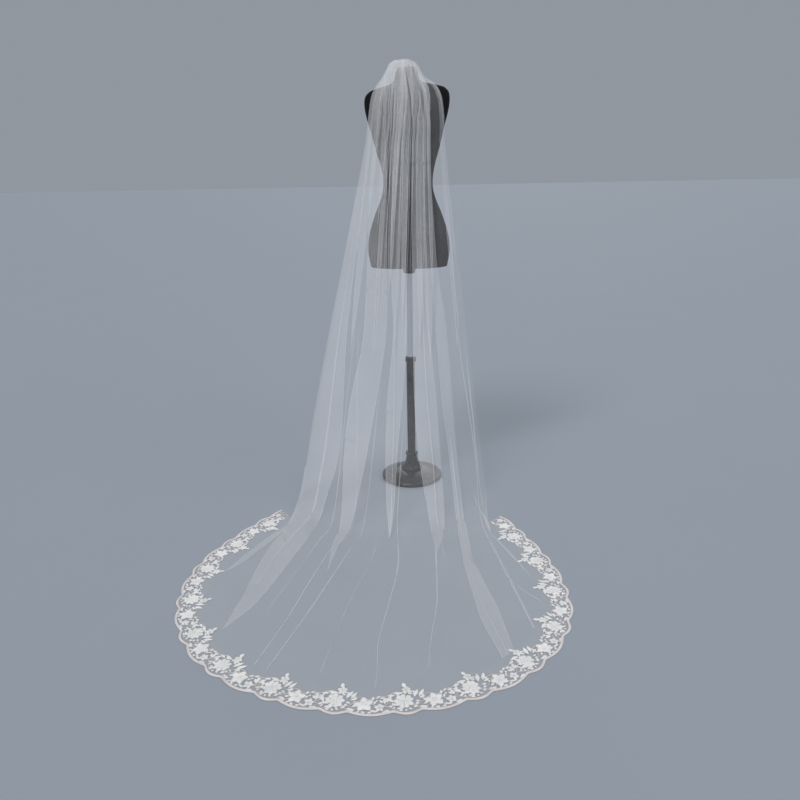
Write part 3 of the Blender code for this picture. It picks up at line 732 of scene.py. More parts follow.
def small_fold_tracks(rows):
    """Gathering folds between the main ones: places across, and a share of the spare width, at every row."""
    rng = np.random.default_rng(SMALL_FOLD_SEED)
    even = (np.arange(SMALL_FOLDS) + 0.5) / SMALL_FOLDS
    even = even + rng.uniform(-0.4, 0.4, SMALL_FOLDS) / SMALL_FOLDS
    parted = np.interp(even, SMALL_FOLD_SHARES, SMALL_FOLD_PLACES)
    drift = rng.uniform(-0.02, 0.02, SMALL_FOLDS)
    ends = rng.uniform(1.20, 1.75, SMALL_FOLDS)
    weight = rng.uniform(0.4, 1.5, SMALL_FOLDS) ** 2
    opened = np.interp(rows, (0.35, 0.85), (0.0, 1.0))[:, None]
    place = even + (parted - even) * opened + drift * np.clip(rows - 0.6, 0.0, 1.2)[:, None]
    share = weight[None, :] * np.clip((ends[None, :] - rows[:, None]) / 0.5, 0.0, 1.0) ** 0.8
    return np.clip(place, 0.004, 0.996), share


def fold_tracks(rows, reach, places, width):
    """Middle and width, in metres across the threads, of every fold at every row.

    The main folds follow their tables. The small ones share what the row's cloth has left over, which is half
    of the panel's width less the row's own, because each fold takes its width twice.
    """
    middle, wide = [], []
    for knots in MAIN_FOLDS.values():
        table = np.asarray(knots)
        left, right = (softened(table[:, 0], table[:, k], 0.05)(rows) for k in (1, 2))
        left = np.array([np.interp(p, places, r) for p, r in zip(left, reach)])
        right = np.array([np.interp(p, places, r) for p, r in zip(right, reach)])
        inside = (rows >= table[0, 0] - 1e-9) & (rows <= table[-1, 0] + 1e-9)
        middle.append((left + right) / 2)
        wide.append(np.where(inside, right - left, 0.0))
    middle, wide = np.stack(middle, axis=1), np.stack(wide, axis=1)
    small_centre, share = small_fold_tracks(rows)
    spare = np.maximum((width - reach[:, -1]) / 2 - wide.sum(axis=1), 0.0)
    least_share = SMALL_FOLDS * 0.02
    small_wide = share * (spare / np.maximum(share.sum(axis=1), least_share))[:, None]
    small_middle = np.stack([np.interp(c, places, r) for c, r in zip(small_centre, reach)])
    middle = np.concatenate([middle, small_middle], axis=1)
    wide = np.concatenate([wide, np.minimum(small_wide, SMALL_FOLD_WIDEST)], axis=1)
    return middle, wide


def layer_gap(rows):
    """How far apart the layers of a fold lie: pressed at the comb, open where it hangs, flat on the floor."""
    return np.interp(rows, (0.0, 0.6, 1.0, 1.4, 1.8, 1.96, 2.04, 3.0),
                     (0.0002, 0.0004, 0.0009, 0.0032, 0.0036, 0.0014, 0.0005, 0.0004))


def folded_rows(rows, middle, wide, reach, columns):
    """Carries the panel through its folds, row by row.

    Along a row the cloth runs forward to a fold's far side, back to its near side, and forward again, so
    that a fold is three layers. Each fold lifts the cloth that comes after it by two layer gaps. Under it, a
    lower bound that steps up just past each fold is taken away, so that the undermost layer keeps to the
    surface.
    Down to ORDER_ROW the folds keep the order that they have there, so that none jumps past another.
    Returns each point's distance across, its height over the surface, and how near it is to a fold line.
    """
    count = len(rows)
    across = np.empty((count, columns))
    height = np.empty((count, columns))
    crease = np.empty((count, columns))
    gap = layer_gap(rows)
    sharpness = np.interp(rows, (0.0, 1.15, 1.5), (0.30, 0.50, 1.0))
    settled = int(np.searchsorted(rows, ORDER_ROW))
    for i in range(count):
        order = np.argsort(middle[max(i, settled)])
        m, w = middle[i][order], wide[i][order]
        end = reach[i, -1]
        far = np.clip(m + w / 2, 0.0, end)
        near = np.clip(m - w / 2, 0.0, end)
        pressed = np.clip(w / PRESSED_WIDTH, 0.0, 1.0)
        lift = 2 * gap[i] * pressed
        level = np.concatenate([[0.0], np.cumsum(lift)])
        stops = np.concatenate([[0.0], np.stack([far, near], axis=1).ravel(), [end]])
        heights = np.concatenate([[0.0], np.stack([level[:-1], level[1:]], axis=1).ravel(), [level[-1]]])
        length = np.concatenate([[0.0], np.cumsum(np.abs(np.diff(stops)) + 1e-7)])
        at = np.linspace(0.0, length[-1], columns)
        across[i] = np.interp(at, length, stops)
        floor_run = np.maximum(w * 0.5, 0.004)
        rise = np.clip((across[i][:, None] - far[None, :]) / floor_run[None, :], 0.0, 1.0)
        under = (rise * rise * (3 - 2 * rise) * lift[None, :]).sum(axis=1)
        height[i] = np.interp(at, length, heights) - under
        away = (at[:, None] - length[1:-1]) / FOLD_LINE_WIDTH
        lines = (np.exp(-away * away) * np.repeat(pressed, 2)).sum(axis=1)
        crease[i] = np.clip(lines, 0.0, 1.0) * sharpness[i]
    return across, np.maximum(height, 0.0), crease


def evened(values, passes):
    """Rounds the fold lines: each pass takes a quarter of both neighbours along the row."""
    for _ in range(passes):
        padded = np.pad(values, ((0, 0), (1, 1)), mode="edge")
        values = 0.25 * padded[:, :-2] + 0.5 * values + 0.25 * padded[:, 2:]
    return values


def hanging_swell(rows, middle, wide, across, amount):
    """The wide folds belly out where they hang: a bell over each, strongest between blades and floor."""
    strength = amount * np.sin(np.clip((rows - 0.75) / 1.2, 0.0, 1.0) * math.pi) ** 0.8
    swell = np.zeros_like(across)
    for k in range(WIDE_FOLDS):
        spread = np.maximum(wide[:, k], 0.02)[:, None] * 0.7
        swell += np.exp(-(((across - middle[:, k:k + 1]) / spread) ** 2))
    wave = 0.5 + 0.5 * np.sin(across * 55.0 + 2.0 * np.sin(rows * 2.1)[:, None])
    return strength[:, None] * (np.clip(swell, 0.0, 1.0) + 0.25 * wave)


def folded_panel(settings, lace_width, rows):
    """The whole panel as a grid of points, its fold lines, and the lengths of its threads from row to row."""
    places = np.linspace(0.0, 1.0, 1025)
    base = veil_surface(rows, places, settings.panel_width, lace_width)
    normals, reach = surface_frame(base)
    middle, wide = fold_tracks(rows, reach, places, settings.panel_width)
    across, height, crease = folded_rows(rows, middle, wide, reach, settings.columns + 1)
    across, height = evened(across, 2), evened(height, 2)
    height = height + hanging_swell(rows, middle, wide, across, settings.swell)
    height += np.where(rows > 1.9, 0.0006, 0.0012)[:, None]
    points = np.empty((*across.shape, 3))
    for i in range(len(rows)):
        for axis in range(3):
            line = np.interp(across[i], reach[i], base[i, :, axis])
            lean = np.interp(across[i], reach[i], normals[i, :, axis])
            points[i, :, axis] = line + lean * height[i]
    points[..., 2] = np.maximum(points[..., 2], FLOOR_GAP)
    return points, crease, np.linalg.norm(np.diff(base, axis=0), axis=2)


# ---------------------------------------------------------------- the lace
def lobes(place):
    """The border's lobes, 0 in the valleys and 1 at the tips: each repeat has a narrow and a broad one."""
    phase = place % 1.0
    narrow = np.abs(np.sin(math.pi * np.clip(phase / NARROW_LOBE, 0, 1)))
    broad = np.abs(np.sin(math.pi * np.clip((phase - NARROW_LOBE) / (1 - NARROW_LOBE), 0, 1)))
    return np.maximum(narrow, broad)


def lobed_edge(place, scallop):
    """The border's outer line: the lobes, a little rounded in their valleys."""
    return -scallop * np.mean([lobes(place + shift) for shift in np.linspace(-0.02, 0.02, 5)], axis=0)


def hem_frame(place, inset):
    """Points on the border at places counted in repeats, with the ways along it and in from its edge."""
    share = (np.asarray(place, float) - LACE_START) / bpy.context.scene.veil_lace.repeats
    inset = np.asarray(inset, float)
    x, y = hem_line(share, inset)
    ahead_x, ahead_y = hem_line(share + 1e-4, inset)
    along = unit(np.stack([ahead_x - x, ahead_y - y], axis=-1))
    inward = np.stack([-along[..., 1], along[..., 0]], axis=-1)
    return np.stack([x, y], axis=-1), along, inward


# A petal: place in repeats, distance in from the valleys, turn in degrees from the way along towards the
# middle of the train, distance of its root from there, length, width, height, and roundness from 0, a pointed
# leaf, to 1, a round petal.
def ring_of(place, inset, count, root, length, width, height, roundness, first=0.0):
    """Petals of one flower, evenly turned about its middle."""
    turns = first + np.arange(count) * 360.0 / count
    return [(place, inset, turn, root, length, width, height, roundness) for turn in turns]


def leaves(height, roundness, *rows):
    """Leaves of one kind: place, distance in, turn, length and width of each."""
    return [(place, inset, turn, 0.0, length, width, height, roundness)
            for place, inset, turn, length, width in rows]


def repeat_petals():
    """One repeat of the pattern: a rose, a bud over it, a star flower, a small flower, sprigs and leaves."""
    petals = ring_of(0.17, 0.037, 9, 0.0120, 0.0150, 0.0145, 0.0018, 0.80, 10.0)
    petals += ring_of(0.17, 0.037, 7, 0.0060, 0.0115, 0.0125, 0.0027, 0.90, 35.0)
    petals += ring_of(0.17, 0.037, 5, 0.0010, 0.0080, 0.0090, 0.0036, 1.0, 5.0)
    petals += ring_of(0.60, 0.029, 5, 0.0055, 0.0215, 0.0175, 0.0018, 0.35, 100.0)
    petals += ring_of(0.60, 0.029, 5, 0.0040, 0.0140, 0.0125, 0.0016, 0.70, 136.0)
    petals += ring_of(0.60, 0.029, 5, 0.0005, 0.0080, 0.0080, 0.0031, 0.95, 100.0)
    petals += ring_of(0.82, 0.018, 5, 0.0025, 0.0115, 0.0105, 0.0019, 0.80, 20.0)
    petals += ring_of(0.82, 0.018, 1, -0.0025, 0.0050, 0.0055, 0.0030, 1.0)
    petals += ring_of(0.25, 0.079, 5, 0.0030, 0.0105, 0.0110, 0.0021, 0.85, 18.0)
    petals += ring_of(0.25, 0.079, 3, 0.0005, 0.0055, 0.0065, 0.0029, 1.0, 60.0)
    petals += ring_of(0.325, 0.066, 4, 0.0020, 0.0080, 0.0080, 0.0019, 0.85, 30.0)
    petals += leaves(
        0.0019, 0.50,
        (0.235, 0.087, 98.0, 0.0190, 0.0120), (0.330, 0.050, 66.0, 0.0320, 0.0110),
        (0.205, 0.062, 70.0, 0.0150, 0.0085), (0.290, 0.060, 120.0, 0.0150, 0.0080),
        (0.405, 0.050, 58.0, 0.0290, 0.0105), (0.400, 0.044, 12.0, 0.0190, 0.0085),
        (0.945, 0.060, 6.0, 0.0200, 0.0090), (0.035, 0.068, 4.0, 0.0260, 0.0090),
        (0.925, 0.053, -48.0, 0.0270, 0.0110), (0.895, 0.031, 95.0, 0.0220, 0.0105),
        (0.930, 0.036, 72.0, 0.0150, 0.0080), (0.870, 0.034, 125.0, 0.0140, 0.0080))
    petals += leaves(
        0.0014, 0.30,
        (0.050, 0.013, -10.0, 0.0160, 0.0080), (0.085, 0.006, 25.0, 0.0130, 0.0065),
        (0.255, 0.004, 140.0, 0.0130, 0.0065), (0.360, 0.013, -15.0, 0.0180, 0.0080),
        (0.430, 0.020, 20.0, 0.0140, 0.0075), (0.470, 0.008, 160.0, 0.0140, 0.0070),
        (0.500, 0.000, 30.0, 0.0120, 0.0065), (0.690, 0.008, -20.0, 0.0160, 0.0070),
        (0.700, 0.046, 30.0, 0.0140, 0.0070), (0.735, 0.030, 60.0, 0.0130, 0.0070),
        (0.730, 0.002, 10.0, 0.0140, 0.0065), (0.880, 0.006, -10.0, 0.0160, 0.0075),
        (0.945, 0.018, 30.0, 0.0150, 0.0075), (0.990, 0.032, -40.0, 0.0140, 0.0075),
        (0.045, 0.036, 20.0, 0.0150, 0.0070), (0.060, 0.052, -30.0, 0.0130, 0.0065),
        (0.335, 0.036, -20.0, 0.0140, 0.0070), (0.995, 0.010, 60.0, 0.0120, 0.0060),
        (0.020, 0.022, 40.0, 0.0150, 0.0080), (0.075, 0.060, 35.0, 0.0150, 0.0080),
        (0.110, 0.066, 10.0, 0.0150, 0.0075), (0.280, 0.012, 30.0, 0.0140, 0.0080),
        (0.410, 0.004, 20.0, 0.0130, 0.0070), (0.455, 0.046, 80.0, 0.0130, 0.0075),
        (0.560, 0.003, -20.0, 0.0130, 0.0070), (0.650, -0.002, 20.0, 0.0130, 0.0070),
        (0.725, 0.044, 80.0, 0.0140, 0.0080), (0.775, 0.052, 30.0, 0.0150, 0.0080),
        (0.830, 0.052, 0.0, 0.0160, 0.0080), (0.845, 0.002, 0.0, 0.0140, 0.0070),
        (0.955, 0.046, 60.0, 0.0140, 0.0075), (0.130, 0.002, 160.0, 0.0130, 0.0070))
    petals += leaves(
        0.0022, 1.0,
        (0.330, 0.021, 60.0, 0.0095, 0.0090), (0.170, 0.000, 90.0, 0.0080, 0.0070),
        (0.680, 0.016, 90.0, 0.0080, 0.0075), (0.770, 0.040, 40.0, 0.0075, 0.0070),
        (0.460, 0.034, 90.0, 0.0075, 0.0070), (0.600, -0.004, 90.0, 0.0080, 0.0065))
    return np.array(petals)


def petal_grids(petals, rng, steps_along=7, steps_across=5):
    """Every petal as a small crowned patch.

    Over t from 0 at its root to 1 at its tip and q from -1 to 1 across, its half width is the width times
    sin(pi t) to a power that is low for round petals, its middle runs straight out, and its height is a crown
    over q and t with a groove down the middle.
    """
    place, inset, turn, start, length, width, height, round_ = petals.T
    turn = np.radians(turn + rng.uniform(-7.0, 7.0, len(turn)))
    size = rng.uniform(0.92, 1.08, len(turn))
    centre, along, inward = hem_frame(place, inset)
    ahead = along * np.cos(turn)[:, None] + inward * np.sin(turn)[:, None]
    beside = -along * np.sin(turn)[:, None] + inward * np.cos(turn)[:, None]
    t = np.linspace(0.0, 1.0, steps_along)[None, :, None]
    q = np.linspace(1.0, -1.0, steps_across)[None, None, :]
    power = (1.15 - 0.65 * round_)[:, None, None]
    bell = np.sin(math.pi * np.clip(t, 0.03, 0.97)) ** power
    half = (width * size)[:, None, None] * 0.57 * bell
    out = start[:, None, None] + (length * size)[:, None, None] * t
    crown = (1.0 - 0.75 * q * q) * (0.35 + 0.65 * np.sin(math.pi * t)) - 0.18 * np.exp(-((q / 0.3) ** 2))
    up = 0.0008 + height[:, None, None] * np.clip(crown, 0.0, 1.0) * np.clip(bell * 2.5, 0.0, 1.0)
    flat = (centre[:, None, None, :] + ahead[:, None, None, :] * out[..., None]
            + beside[:, None, None, :] * (half * q)[..., None])
    return np.concatenate([flat, np.broadcast_to(up, flat.shape[:3])[..., None]], axis=3)


def floor_path(place, inset, height):
    """A path over the border: places in repeats, distances in from the valleys, and heights."""
    centre, _, _ = hem_frame(place, inset)
    return np.concatenate([centre, np.broadcast_to(height, len(centre))[:, None]], axis=1)


# ---------------------------------------------------------------- operators
def settle(piece, slot, *nodes):
    """Rides a piece on the body and lets it stand for its nodes; the slot is not used."""
    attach(piece, BODY)
    if nodes:
        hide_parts(*nodes)
    return piece


def turned(name, profile, sides, material, slot, node):
    """Turns one piece of the stand and settles it."""
    settle(add_piece(name, *turned_grid(profile, sides), material, weld=True), slot, node)


class VEIL_OT_tulle(bpy.types.Operator):
    """Fold the tulle panel over the form and lay its train"""
    bl_idname = "veil.tulle"
    bl_label = "Fold the tulle"

    def execute(self, context):
        settings, lace = context.scene.veil_tulle, context.scene.veil_lace
        stretches = (             # name, first and last row, rows, how it is held
            ("tulle_gathers", 0.0, 1.0, 84, "gathered", ["veil_comb", "neck_cap"]),
            ("tulle_back", 1.0, 1.375, 70, "hung", ["tulle_gathers"]),
            ("tulle_knees", 1.375, 1.6875, 60, "hung", ["tulle_back"]),
            ("tulle_sweep", 1.6875, 2.0, 76, "hung", ["tulle_knees"]),
            ("tulle_train", 2.0, 3.0, 130, "laid", ["lace_net"]),
        )
        rows = np.concatenate([[0.0]] + [np.linspace(s[1], s[2], s[3] + 1)[1:] for s in stretches])
        points, crease, steps = folded_panel(settings, lace.width, rows)
        first = 0
        for name, _, _, count, held, rests_on in stretches:
            last = first + count
            grid = points[first:last + 1]
            faces, uv = grid_faces(count + 1, settings.columns + 1)
            threads = steps[first:last].sum(axis=0)
            length = float(threads.mean())
            material = tulle_material(
                name, settings, settings.panel_width / settings.net_size, length / settings.net_size)
            piece = add_piece(name + "_cloth", grid.reshape(-1, 3), faces[:, ::-1], uv[:, ::-1], material,
                              {"fold_line": crease[first:last + 1]})
            settle(piece, "tulle", name)
            first = last
        return {"FINISHED"}


class VEIL_OT_lace(bpy.types.Operator):
    """Work the lace border round the train"""
    bl_idname = "veil.lace"
    bl_label = "Work the lace"

    def execute(self, context):
        settings = context.scene.veil_lace
        width, radius = settings.width, settings.cord_radius
        end = LACE_START + settings.repeats
        place = np.linspace(LACE_START, end, int(settings.repeats * 44) + 1)
        edge = lobed_edge(place, settings.scallop)
        net = self.strip(place, edge, width - 0.0005 - edge, 9, lambda s: 0.0007)
        ground = self.piece("lace_net", net, lace_net_material(settings))
        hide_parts("lace_border")

        rng = np.random.default_rng(settings.seed)
        one = repeat_petals()
        places = np.arange(-1, int(settings.repeats) + 1)
        petals = np.tile(one, (len(places), 1))
        petals[:, 0] += np.repeat(places, len(one))
        petals = petals[(petals[:, 0] > LACE_START + END_MARGIN) & (petals[:, 0] < end - END_MARGIN)]
        # rim=0.75 paints shade onto each petal's sides, where the petals meet.
        motifs = settle(add_piece("lace_petals", *stack_grids(petal_grids(petals, rng)), worked_material(
            "lace_petals", tuple(settings.colour), (3.0, 7.0, 1.0), 0.0005, rim=0.75)), "lace")

        braid = self.strip(place, edge, BRAID_WIDTH, 6, lambda s: 0.0009 + 0.0011 * math.sin(math.pi * s))
        edging = self.piece("lace_braid", braid, worked_material(
            "lace_braid", shaded(settings.colour, 0.88), (900.0, 5.0, 1.0), 0.0004))

        turn = place * 2 * math.pi
        stem = 0.033 + 0.012 * np.sin(2 * turn + 0.6)
        low_stem = 0.014 - 0.008 * np.sin(3 * turn + 0.2)
        arch = 0.061 + 0.011 * np.cos((place - 0.17) * 2 * math.pi) + 0.003 * np.sin(4 * turn)
        cords = [tube_grid(floor_path(place, inset, height), thickness, sides=sides)
                 for inset, height, thickness, sides in (
                     (edge, radius + 0.0002, radius, 8), (edge + BRAID_WIDTH, radius, radius * 0.85, 6),
                     (stem, 0.0012, 0.0009, 5), (low_stem, 0.0010, 0.0008, 5), (arch, 0.0011, 0.0008, 5))]
        cord = settle(add_piece("lace_cord", *join_parts(cords), worked_material(
            "lace_cord", tuple(settings.cord_colour), (4.0, 900.0, 1.0), 0.0004), weld=True), "lace")
        return {"FINISHED"}

    def strip(self, place, edge, width, count, height):
        """Rows of points from the outer line inwards, each with its height from the share across."""
        return np.stack([floor_path(place, edge + width * s, height(float(s)))
                         for s in np.linspace(0.0, 1.0, count)])

    def piece(self, name, grid, material):
        """Makes a strip's piece and settles it."""
        faces, uv = grid_faces(*grid.shape[:2])
        return settle(add_piece(name, grid.reshape(-1, 3), faces, uv, material), "lace")


class VEIL_OT_comb(bpy.types.Operator):
    """Bend the wire comb and bind it to the gathered edge"""
    bl_idname = "veil.comb"
    bl_label = "Make the comb"

    def execute(self, context):
        low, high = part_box("veil_comb")
        settings = context.scene.veil_stand
        middle = (low.y + high.y) / 2
        bar_z = high.z - 0.0020
        tooth_top = bar_z - 0.0005
        depth = tooth_top - low.z - COMB_WIRE
        t = np.linspace(0.0, 1.0, 14)
        parts = []
        for x in np.linspace(low.x + COMB_WIRE, high.x - COMB_WIRE, COMB_TEETH):
            path = np.stack([np.full(14, x), middle + 0.0012 * np.sin(t * math.pi), tooth_top - depth * t],
                            axis=1)
            parts.append(tube_grid(path, COMB_WIRE * (1.0 - 0.35 * t**3), up=(1.0, 0.0, 0.0)))
        across = np.linspace(low.x + 0.001, high.x - 0.001, 40)
        bar = np.stack([across, np.full(40, middle), np.full(40, bar_z)], axis=1)
        parts.append(tube_grid(bar, BAR_WIRE, sides=10))
        comb = add_piece("comb_wire", *join_parts(parts), metal_material(
            "comb_metal", tuple(settings.wire_colour), 0.24, 1.0, 0.0, 0.1), weld=True)
        settle(comb, "comb_metal", "veil_comb")

        t = np.linspace(0.0, 1.0, BINDING_TURNS * 14)
        turn = t * BINDING_TURNS * 2 * math.pi
        winding = np.stack([
            low.x + 0.002 + (high.x - low.x - 0.004) * t,
            middle + BINDING_RADIUS * np.cos(turn),
            bar_z + BINDING_RADIUS * np.sin(turn)], axis=1)
        thread = add_piece("comb_thread", *tube_grid(winding, 0.00035, sides=5, up=(1.0, 0.0, 0.0)),
                           worked_material("comb_thread", tuple(context.scene.veil_tulle.colour),
                                           (2.0, 300.0, 1.0), 0.0002), weld=True)
        settle(thread, "tulle")
        return {"FINISHED"}


class VEIL_OT_form(bpy.types.Operator):
    """Cover the dress form and cap its neck"""
    bl_idname = "veil.form"
    bl_label = "Cover the form"

    def execute(self, context):
        settings, stand = context.scene.veil_form, context.scene.veil_stand
        stations = np.asarray(FORM_STATIONS)
        steps = np.linspace(0, len(stations) - 1, settings.rings)
        heights = np.interp(steps, np.arange(len(stations)), stations[:, 0])
        sections = smooth_through(stations[:, 0], heights, stations[:, 1:])
        turn = np.arange(settings.sides) * 2.0 * math.pi / settings.sides
        power = 2.0 / FORM_SQUARENESS
        x = np.sign(np.cos(turn)) * np.abs(np.cos(turn)) ** power
        y = np.sign(np.sin(turn)) * np.abs(np.sin(turn)) ** power
        half, back, front = (s[:, None] for s in sections.T)
        ring_x = x * half
        ring_y = np.where(y > 0, y * front, y * back)
        above = heights[:, None] - BUST_HEIGHT
        for side in (-1, 1):
            far = ((ring_x - side * BUST_HALF_SPAN) ** 2 + above ** 2) / BUST_SPREAD**2
            ring_y = ring_y + BUST_SWELL * np.exp(-far) * np.clip(y, 0, 1)
        seams = np.zeros_like(turn)
        for seam in SEAM_TURNS:
            away = np.abs((np.degrees(turn) - seam + 180.0) % 360.0 - 180.0)
            seams += np.exp(-((away / SEAM_SPREAD) ** 2))
        radius = np.maximum(np.hypot(ring_x, ring_y), 0.03)
        shrink = 1.0 - settings.seam_depth * np.clip(seams, 0, 1) / radius
        lean = SHOULDER_LEAN * np.interp(heights, LEAN_HEIGHTS, (0.0, 1.0, 1.0, 0.0))[:, None]
        body = np.stack([ring_x * shrink, ring_y * shrink, heights[:, None] + lean * ring_x], axis=2)
        bottom = [body[:1] * (share, share, 0) + (0, 0, heights[0] + rise)
                  for share, rise in ((0.0, 0.0), (0.93, 0.0), (0.985, 0.001))]
        top = body[-1:] * 0 + (0, 0, heights[-1])
        rings = np.concatenate([*bottom, body, top])
        faces, uv = grid_faces(len(rings), settings.sides, wrap=True)
        cover = add_piece("form_cover", rings.reshape(-1, 3), faces, uv, jersey_material(settings), weld=True)
        settle(cover, "form_jersey", "form_torso")

        low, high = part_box("neck_cap")
        enamel = metal_material("cap_enamel", tuple(stand.enamel_colour), 0.35, 0.0, 0.2, 1.2)
        turned("neck_cap_top", bar_profile(high.x, low.z, high.z, 0.0015), stand.sides, enamel,
               "black_enamel", "neck_cap")
        return {"FINISHED"}


class VEIL_OT_stand(bpy.types.Operator):
    """Turn the foot, the boot, the pole, the rod and the socket"""
    bl_idname = "veil.stand"
    bl_label = "Turn the stand"

    def execute(self, context):
        settings = context.scene.veil_stand
        enamel = metal_material("black_enamel", tuple(settings.enamel_colour), 0.30, 0.0, 0.10, 1.5)
        chrome = metal_material("chrome", tuple(settings.chrome_colour), 0.09, 1.0, 0.0, 0.05)
        boot_low, boot_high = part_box("foot_boot")
        tube_low, tube_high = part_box("stand_tube")
        rod_low, rod_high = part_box("chrome_rod")
        pieces = (
            ("foot_disc", self.foot(*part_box("stand_foot"), boot_high.x), "stand_foot"),
            ("boot_cone", self.boot(boot_low, boot_high, tube_high.x), "foot_boot"),
            ("pole_tube", bar_profile(tube_high.x, tube_low.z, tube_high.z), "stand_tube"),
            ("collar_ring", self.collar(*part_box("rod_collar")), "rod_collar"),
            ("rod_chrome", bar_profile(rod_high.x, rod_low.z, rod_high.z), "chrome_rod"),
            ("socket_cone", self.socket(*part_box("torso_socket")), "torso_socket"),
        )
        for name, profile, node in pieces:
            finish, slot = (chrome, "chrome") if node == "chrome_rod" else (enamel, "black_enamel")
            turned(name, profile, settings.sides, finish, slot, node)
        return {"FINISHED"}

    def foot(self, low, high, boot_radius):
        """A flat disc with a rounded rim, and a shallow dome that rises to the boot with a sine."""
        radius = high.x
        rim = [(radius - RIM_ROUND + RIM_ROUND * math.cos(t), FOOT_RIM - RIM_ROUND + RIM_ROUND * math.sin(t))
               for t in np.linspace(0, math.pi / 2, 10)]
        inner = boot_radius + 0.002
        run, rise = radius - RIM_ROUND - inner, high.z - FOOT_RIM
        dome = [(inner + run * (1 - f), FOOT_RIM + rise * math.sin(f * math.pi / 2))
                for f in np.linspace(0.05, 1.0, 24)]
        return [(0.0, 0.0), (radius - 0.008, 0.0), (radius - 0.003, 0.0), (radius - 0.0009, 0.0009),
                (radius, 0.003), (radius, 0.005), *rim, *dome, (0.0, high.z)]

    def boot(self, low, high, tube_radius):
        """A flange, a flank that narrows with the square of what is left of its rise, and a ring on top."""
        radius, base, top = high.x, low.z, high.z
        waist, ring = tube_radius + 0.006, tube_radius + 0.009
        run, start = radius - 0.008 - waist, base + 0.012
        rise = base + BOOT_WAIST - start
        flange = [(0.0, base), (radius, base), (radius, base + 0.006), (radius - 0.0012, base + 0.0088),
                  (radius - 0.004, base + 0.010)]
        flank = [(waist + run * (1 - f) ** 2, start + rise * f) for f in np.linspace(0.0, 1.0, 24)]
        return [*flange, *flank, (ring - 0.001, top - 0.013), (ring, top - 0.011), (ring, top - 0.002),
                (ring - 0.0006, top - 0.0006), (ring - 0.002, top), (0.0, top)]

    def collar(self, low, high):
        """A short bar with fine grooves round it."""
        run = high.z - low.z - 0.004
        grooves = [(high.x - GROOVE_DEPTH * (i % 2), low.z + 0.002 + run * i / (2 * GROOVES))
                   for i in range(2 * GROOVES + 1)]
        return [(0.0, low.z), (high.x - 0.002, low.z), *grooves, (high.x - 0.002, high.z), (0.0, high.z)]

    def socket(self, low, high):
        """A cone that widens to the form's underside."""
        small = high.x - 0.006
        return [(0.0, low.z), (small - 0.002, low.z), (small - 0.0006, low.z + 0.0006),
                (small, low.z + 0.002), (high.x, high.z), (0.0, high.z)]


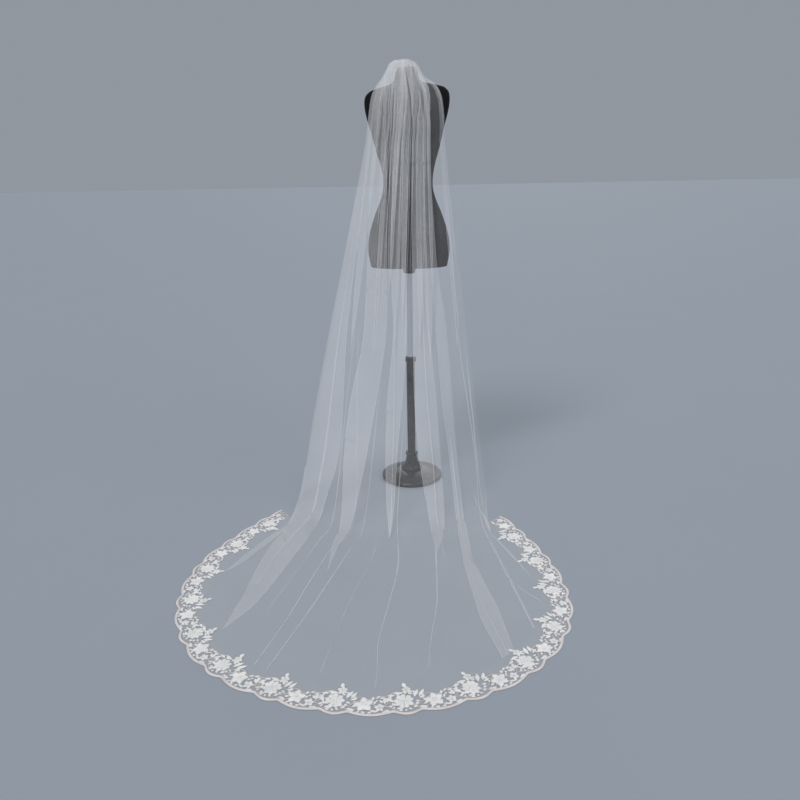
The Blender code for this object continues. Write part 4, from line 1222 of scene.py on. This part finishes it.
class VEIL_OT_stage(bpy.types.Operator):
    """Lay the floor, and set the lamps and the camera"""
    bl_idname = "veil.stage"
    bl_label = "Set the stage"

    def execute(self, context):
        scene, settings = context.scene, context.scene.veil_stage
        across = np.linspace(-FLOOR_REACH, FLOOR_REACH, 9)
        x, y = np.meshgrid(across, across)
        points = np.stack([x, y, np.full_like(x, -0.0003)], axis=2).reshape(-1, 3)
        add_piece("floor", points, *grid_faces(9, 9), floor_material(settings.floor_colour))

        world = bpy.data.worlds.new("surround")
        world.use_nodes = True
        background = world.node_tree.nodes["Background"]
        background.inputs["Color"].default_value = (*settings.sky_colour, 1.0)
        background.inputs["Strength"].default_value = settings.sky_strength
        scene.world = world
        for name, toward, softness, share in LAMPS:
            lamp = bpy.data.lights.new(name, "SUN")
            lamp.energy = settings.key_power * share
            lamp.angle = math.radians(softness)
            thing = bpy.data.objects.new(name, lamp)
            scene.collection.objects.link(thing)
            thing.rotation_euler = (-Vector(toward)).to_track_quat("Z", "Y").to_euler()

        data = bpy.data.cameras.new("camera")
        data.lens = settings.lens
        data.sensor_width = 36.0
        data.clip_start, data.clip_end = 0.05, 80.0
        camera = bpy.data.objects.new("camera", data)
        scene.collection.objects.link(camera)
        pitch, roll = settings.camera_pitch, settings.camera_roll
        back = Vector((0.0, -math.cos(pitch), math.sin(pitch)))
        right, up = Vector((1.0, 0.0, 0.0)), Vector((0.0, math.sin(pitch), math.cos(pitch)))
        leaned_right = right * math.cos(roll) + up * math.sin(roll)
        leaned_up = -right * math.sin(roll) + up * math.cos(roll)
        turn = Matrix((leaned_right, leaned_up, back)).transposed().to_4x4()
        camera.matrix_world = Matrix.Translation(Vector(settings.camera_place)) @ turn
        scene.camera = camera
        scene.cycles.transparent_max_bounces = 96
        scene.view_settings.view_transform = "Standard"
        return {"FINISHED"}


class VEIL_PT_panel(bpy.types.Panel):
    """Lists the steps and their sizes"""
    bl_idname = "VEIL_PT_panel"
    bl_label = "Bridal veil"
    bl_space_type = "VIEW_3D"
    bl_region_type = "UI"
    bl_category = "Veil"

    def draw(self, context):
        scene = context.scene
        steps = (("veil.stage", scene.veil_stage), ("veil.stand", scene.veil_stand),
                 ("veil.form", scene.veil_form), ("veil.comb", None), ("veil.tulle", scene.veil_tulle),
                 ("veil.lace", scene.veil_lace))
        for step, settings in steps:
            box = self.layout.box()
            box.operator(step)
            for key in settings.__annotations__ if settings else ():
                box.prop(settings, key)


SETTINGS = {
    "veil_tulle": TulleSettings,
    "veil_lace": LaceSettings,
    "veil_form": FormSettings,
    "veil_stand": StandSettings,
    "veil_stage": StageSettings,
}
CLASSES = (*SETTINGS.values(), VEIL_OT_stage, VEIL_OT_stand, VEIL_OT_form, VEIL_OT_comb, VEIL_OT_tulle,
           VEIL_OT_lace, VEIL_PT_panel)


def register():
    for cls in CLASSES:
        bpy.utils.register_class(cls)
    for key, cls in SETTINGS.items():
        setattr(bpy.types.Scene, key, bpy.props.PointerProperty(type=cls))


def unregister():
    for key in SETTINGS:
        delattr(bpy.types.Scene, key)
    for cls in reversed(CLASSES):
        bpy.utils.unregister_class(cls)


def main():
    """Builds every piece in order."""
    register()
    for step in (bpy.ops.veil.stage, bpy.ops.veil.stand, bpy.ops.veil.form, bpy.ops.veil.comb,
                 bpy.ops.veil.lace, bpy.ops.veil.tulle):
        step()


if __name__ == "__main__":
    main()
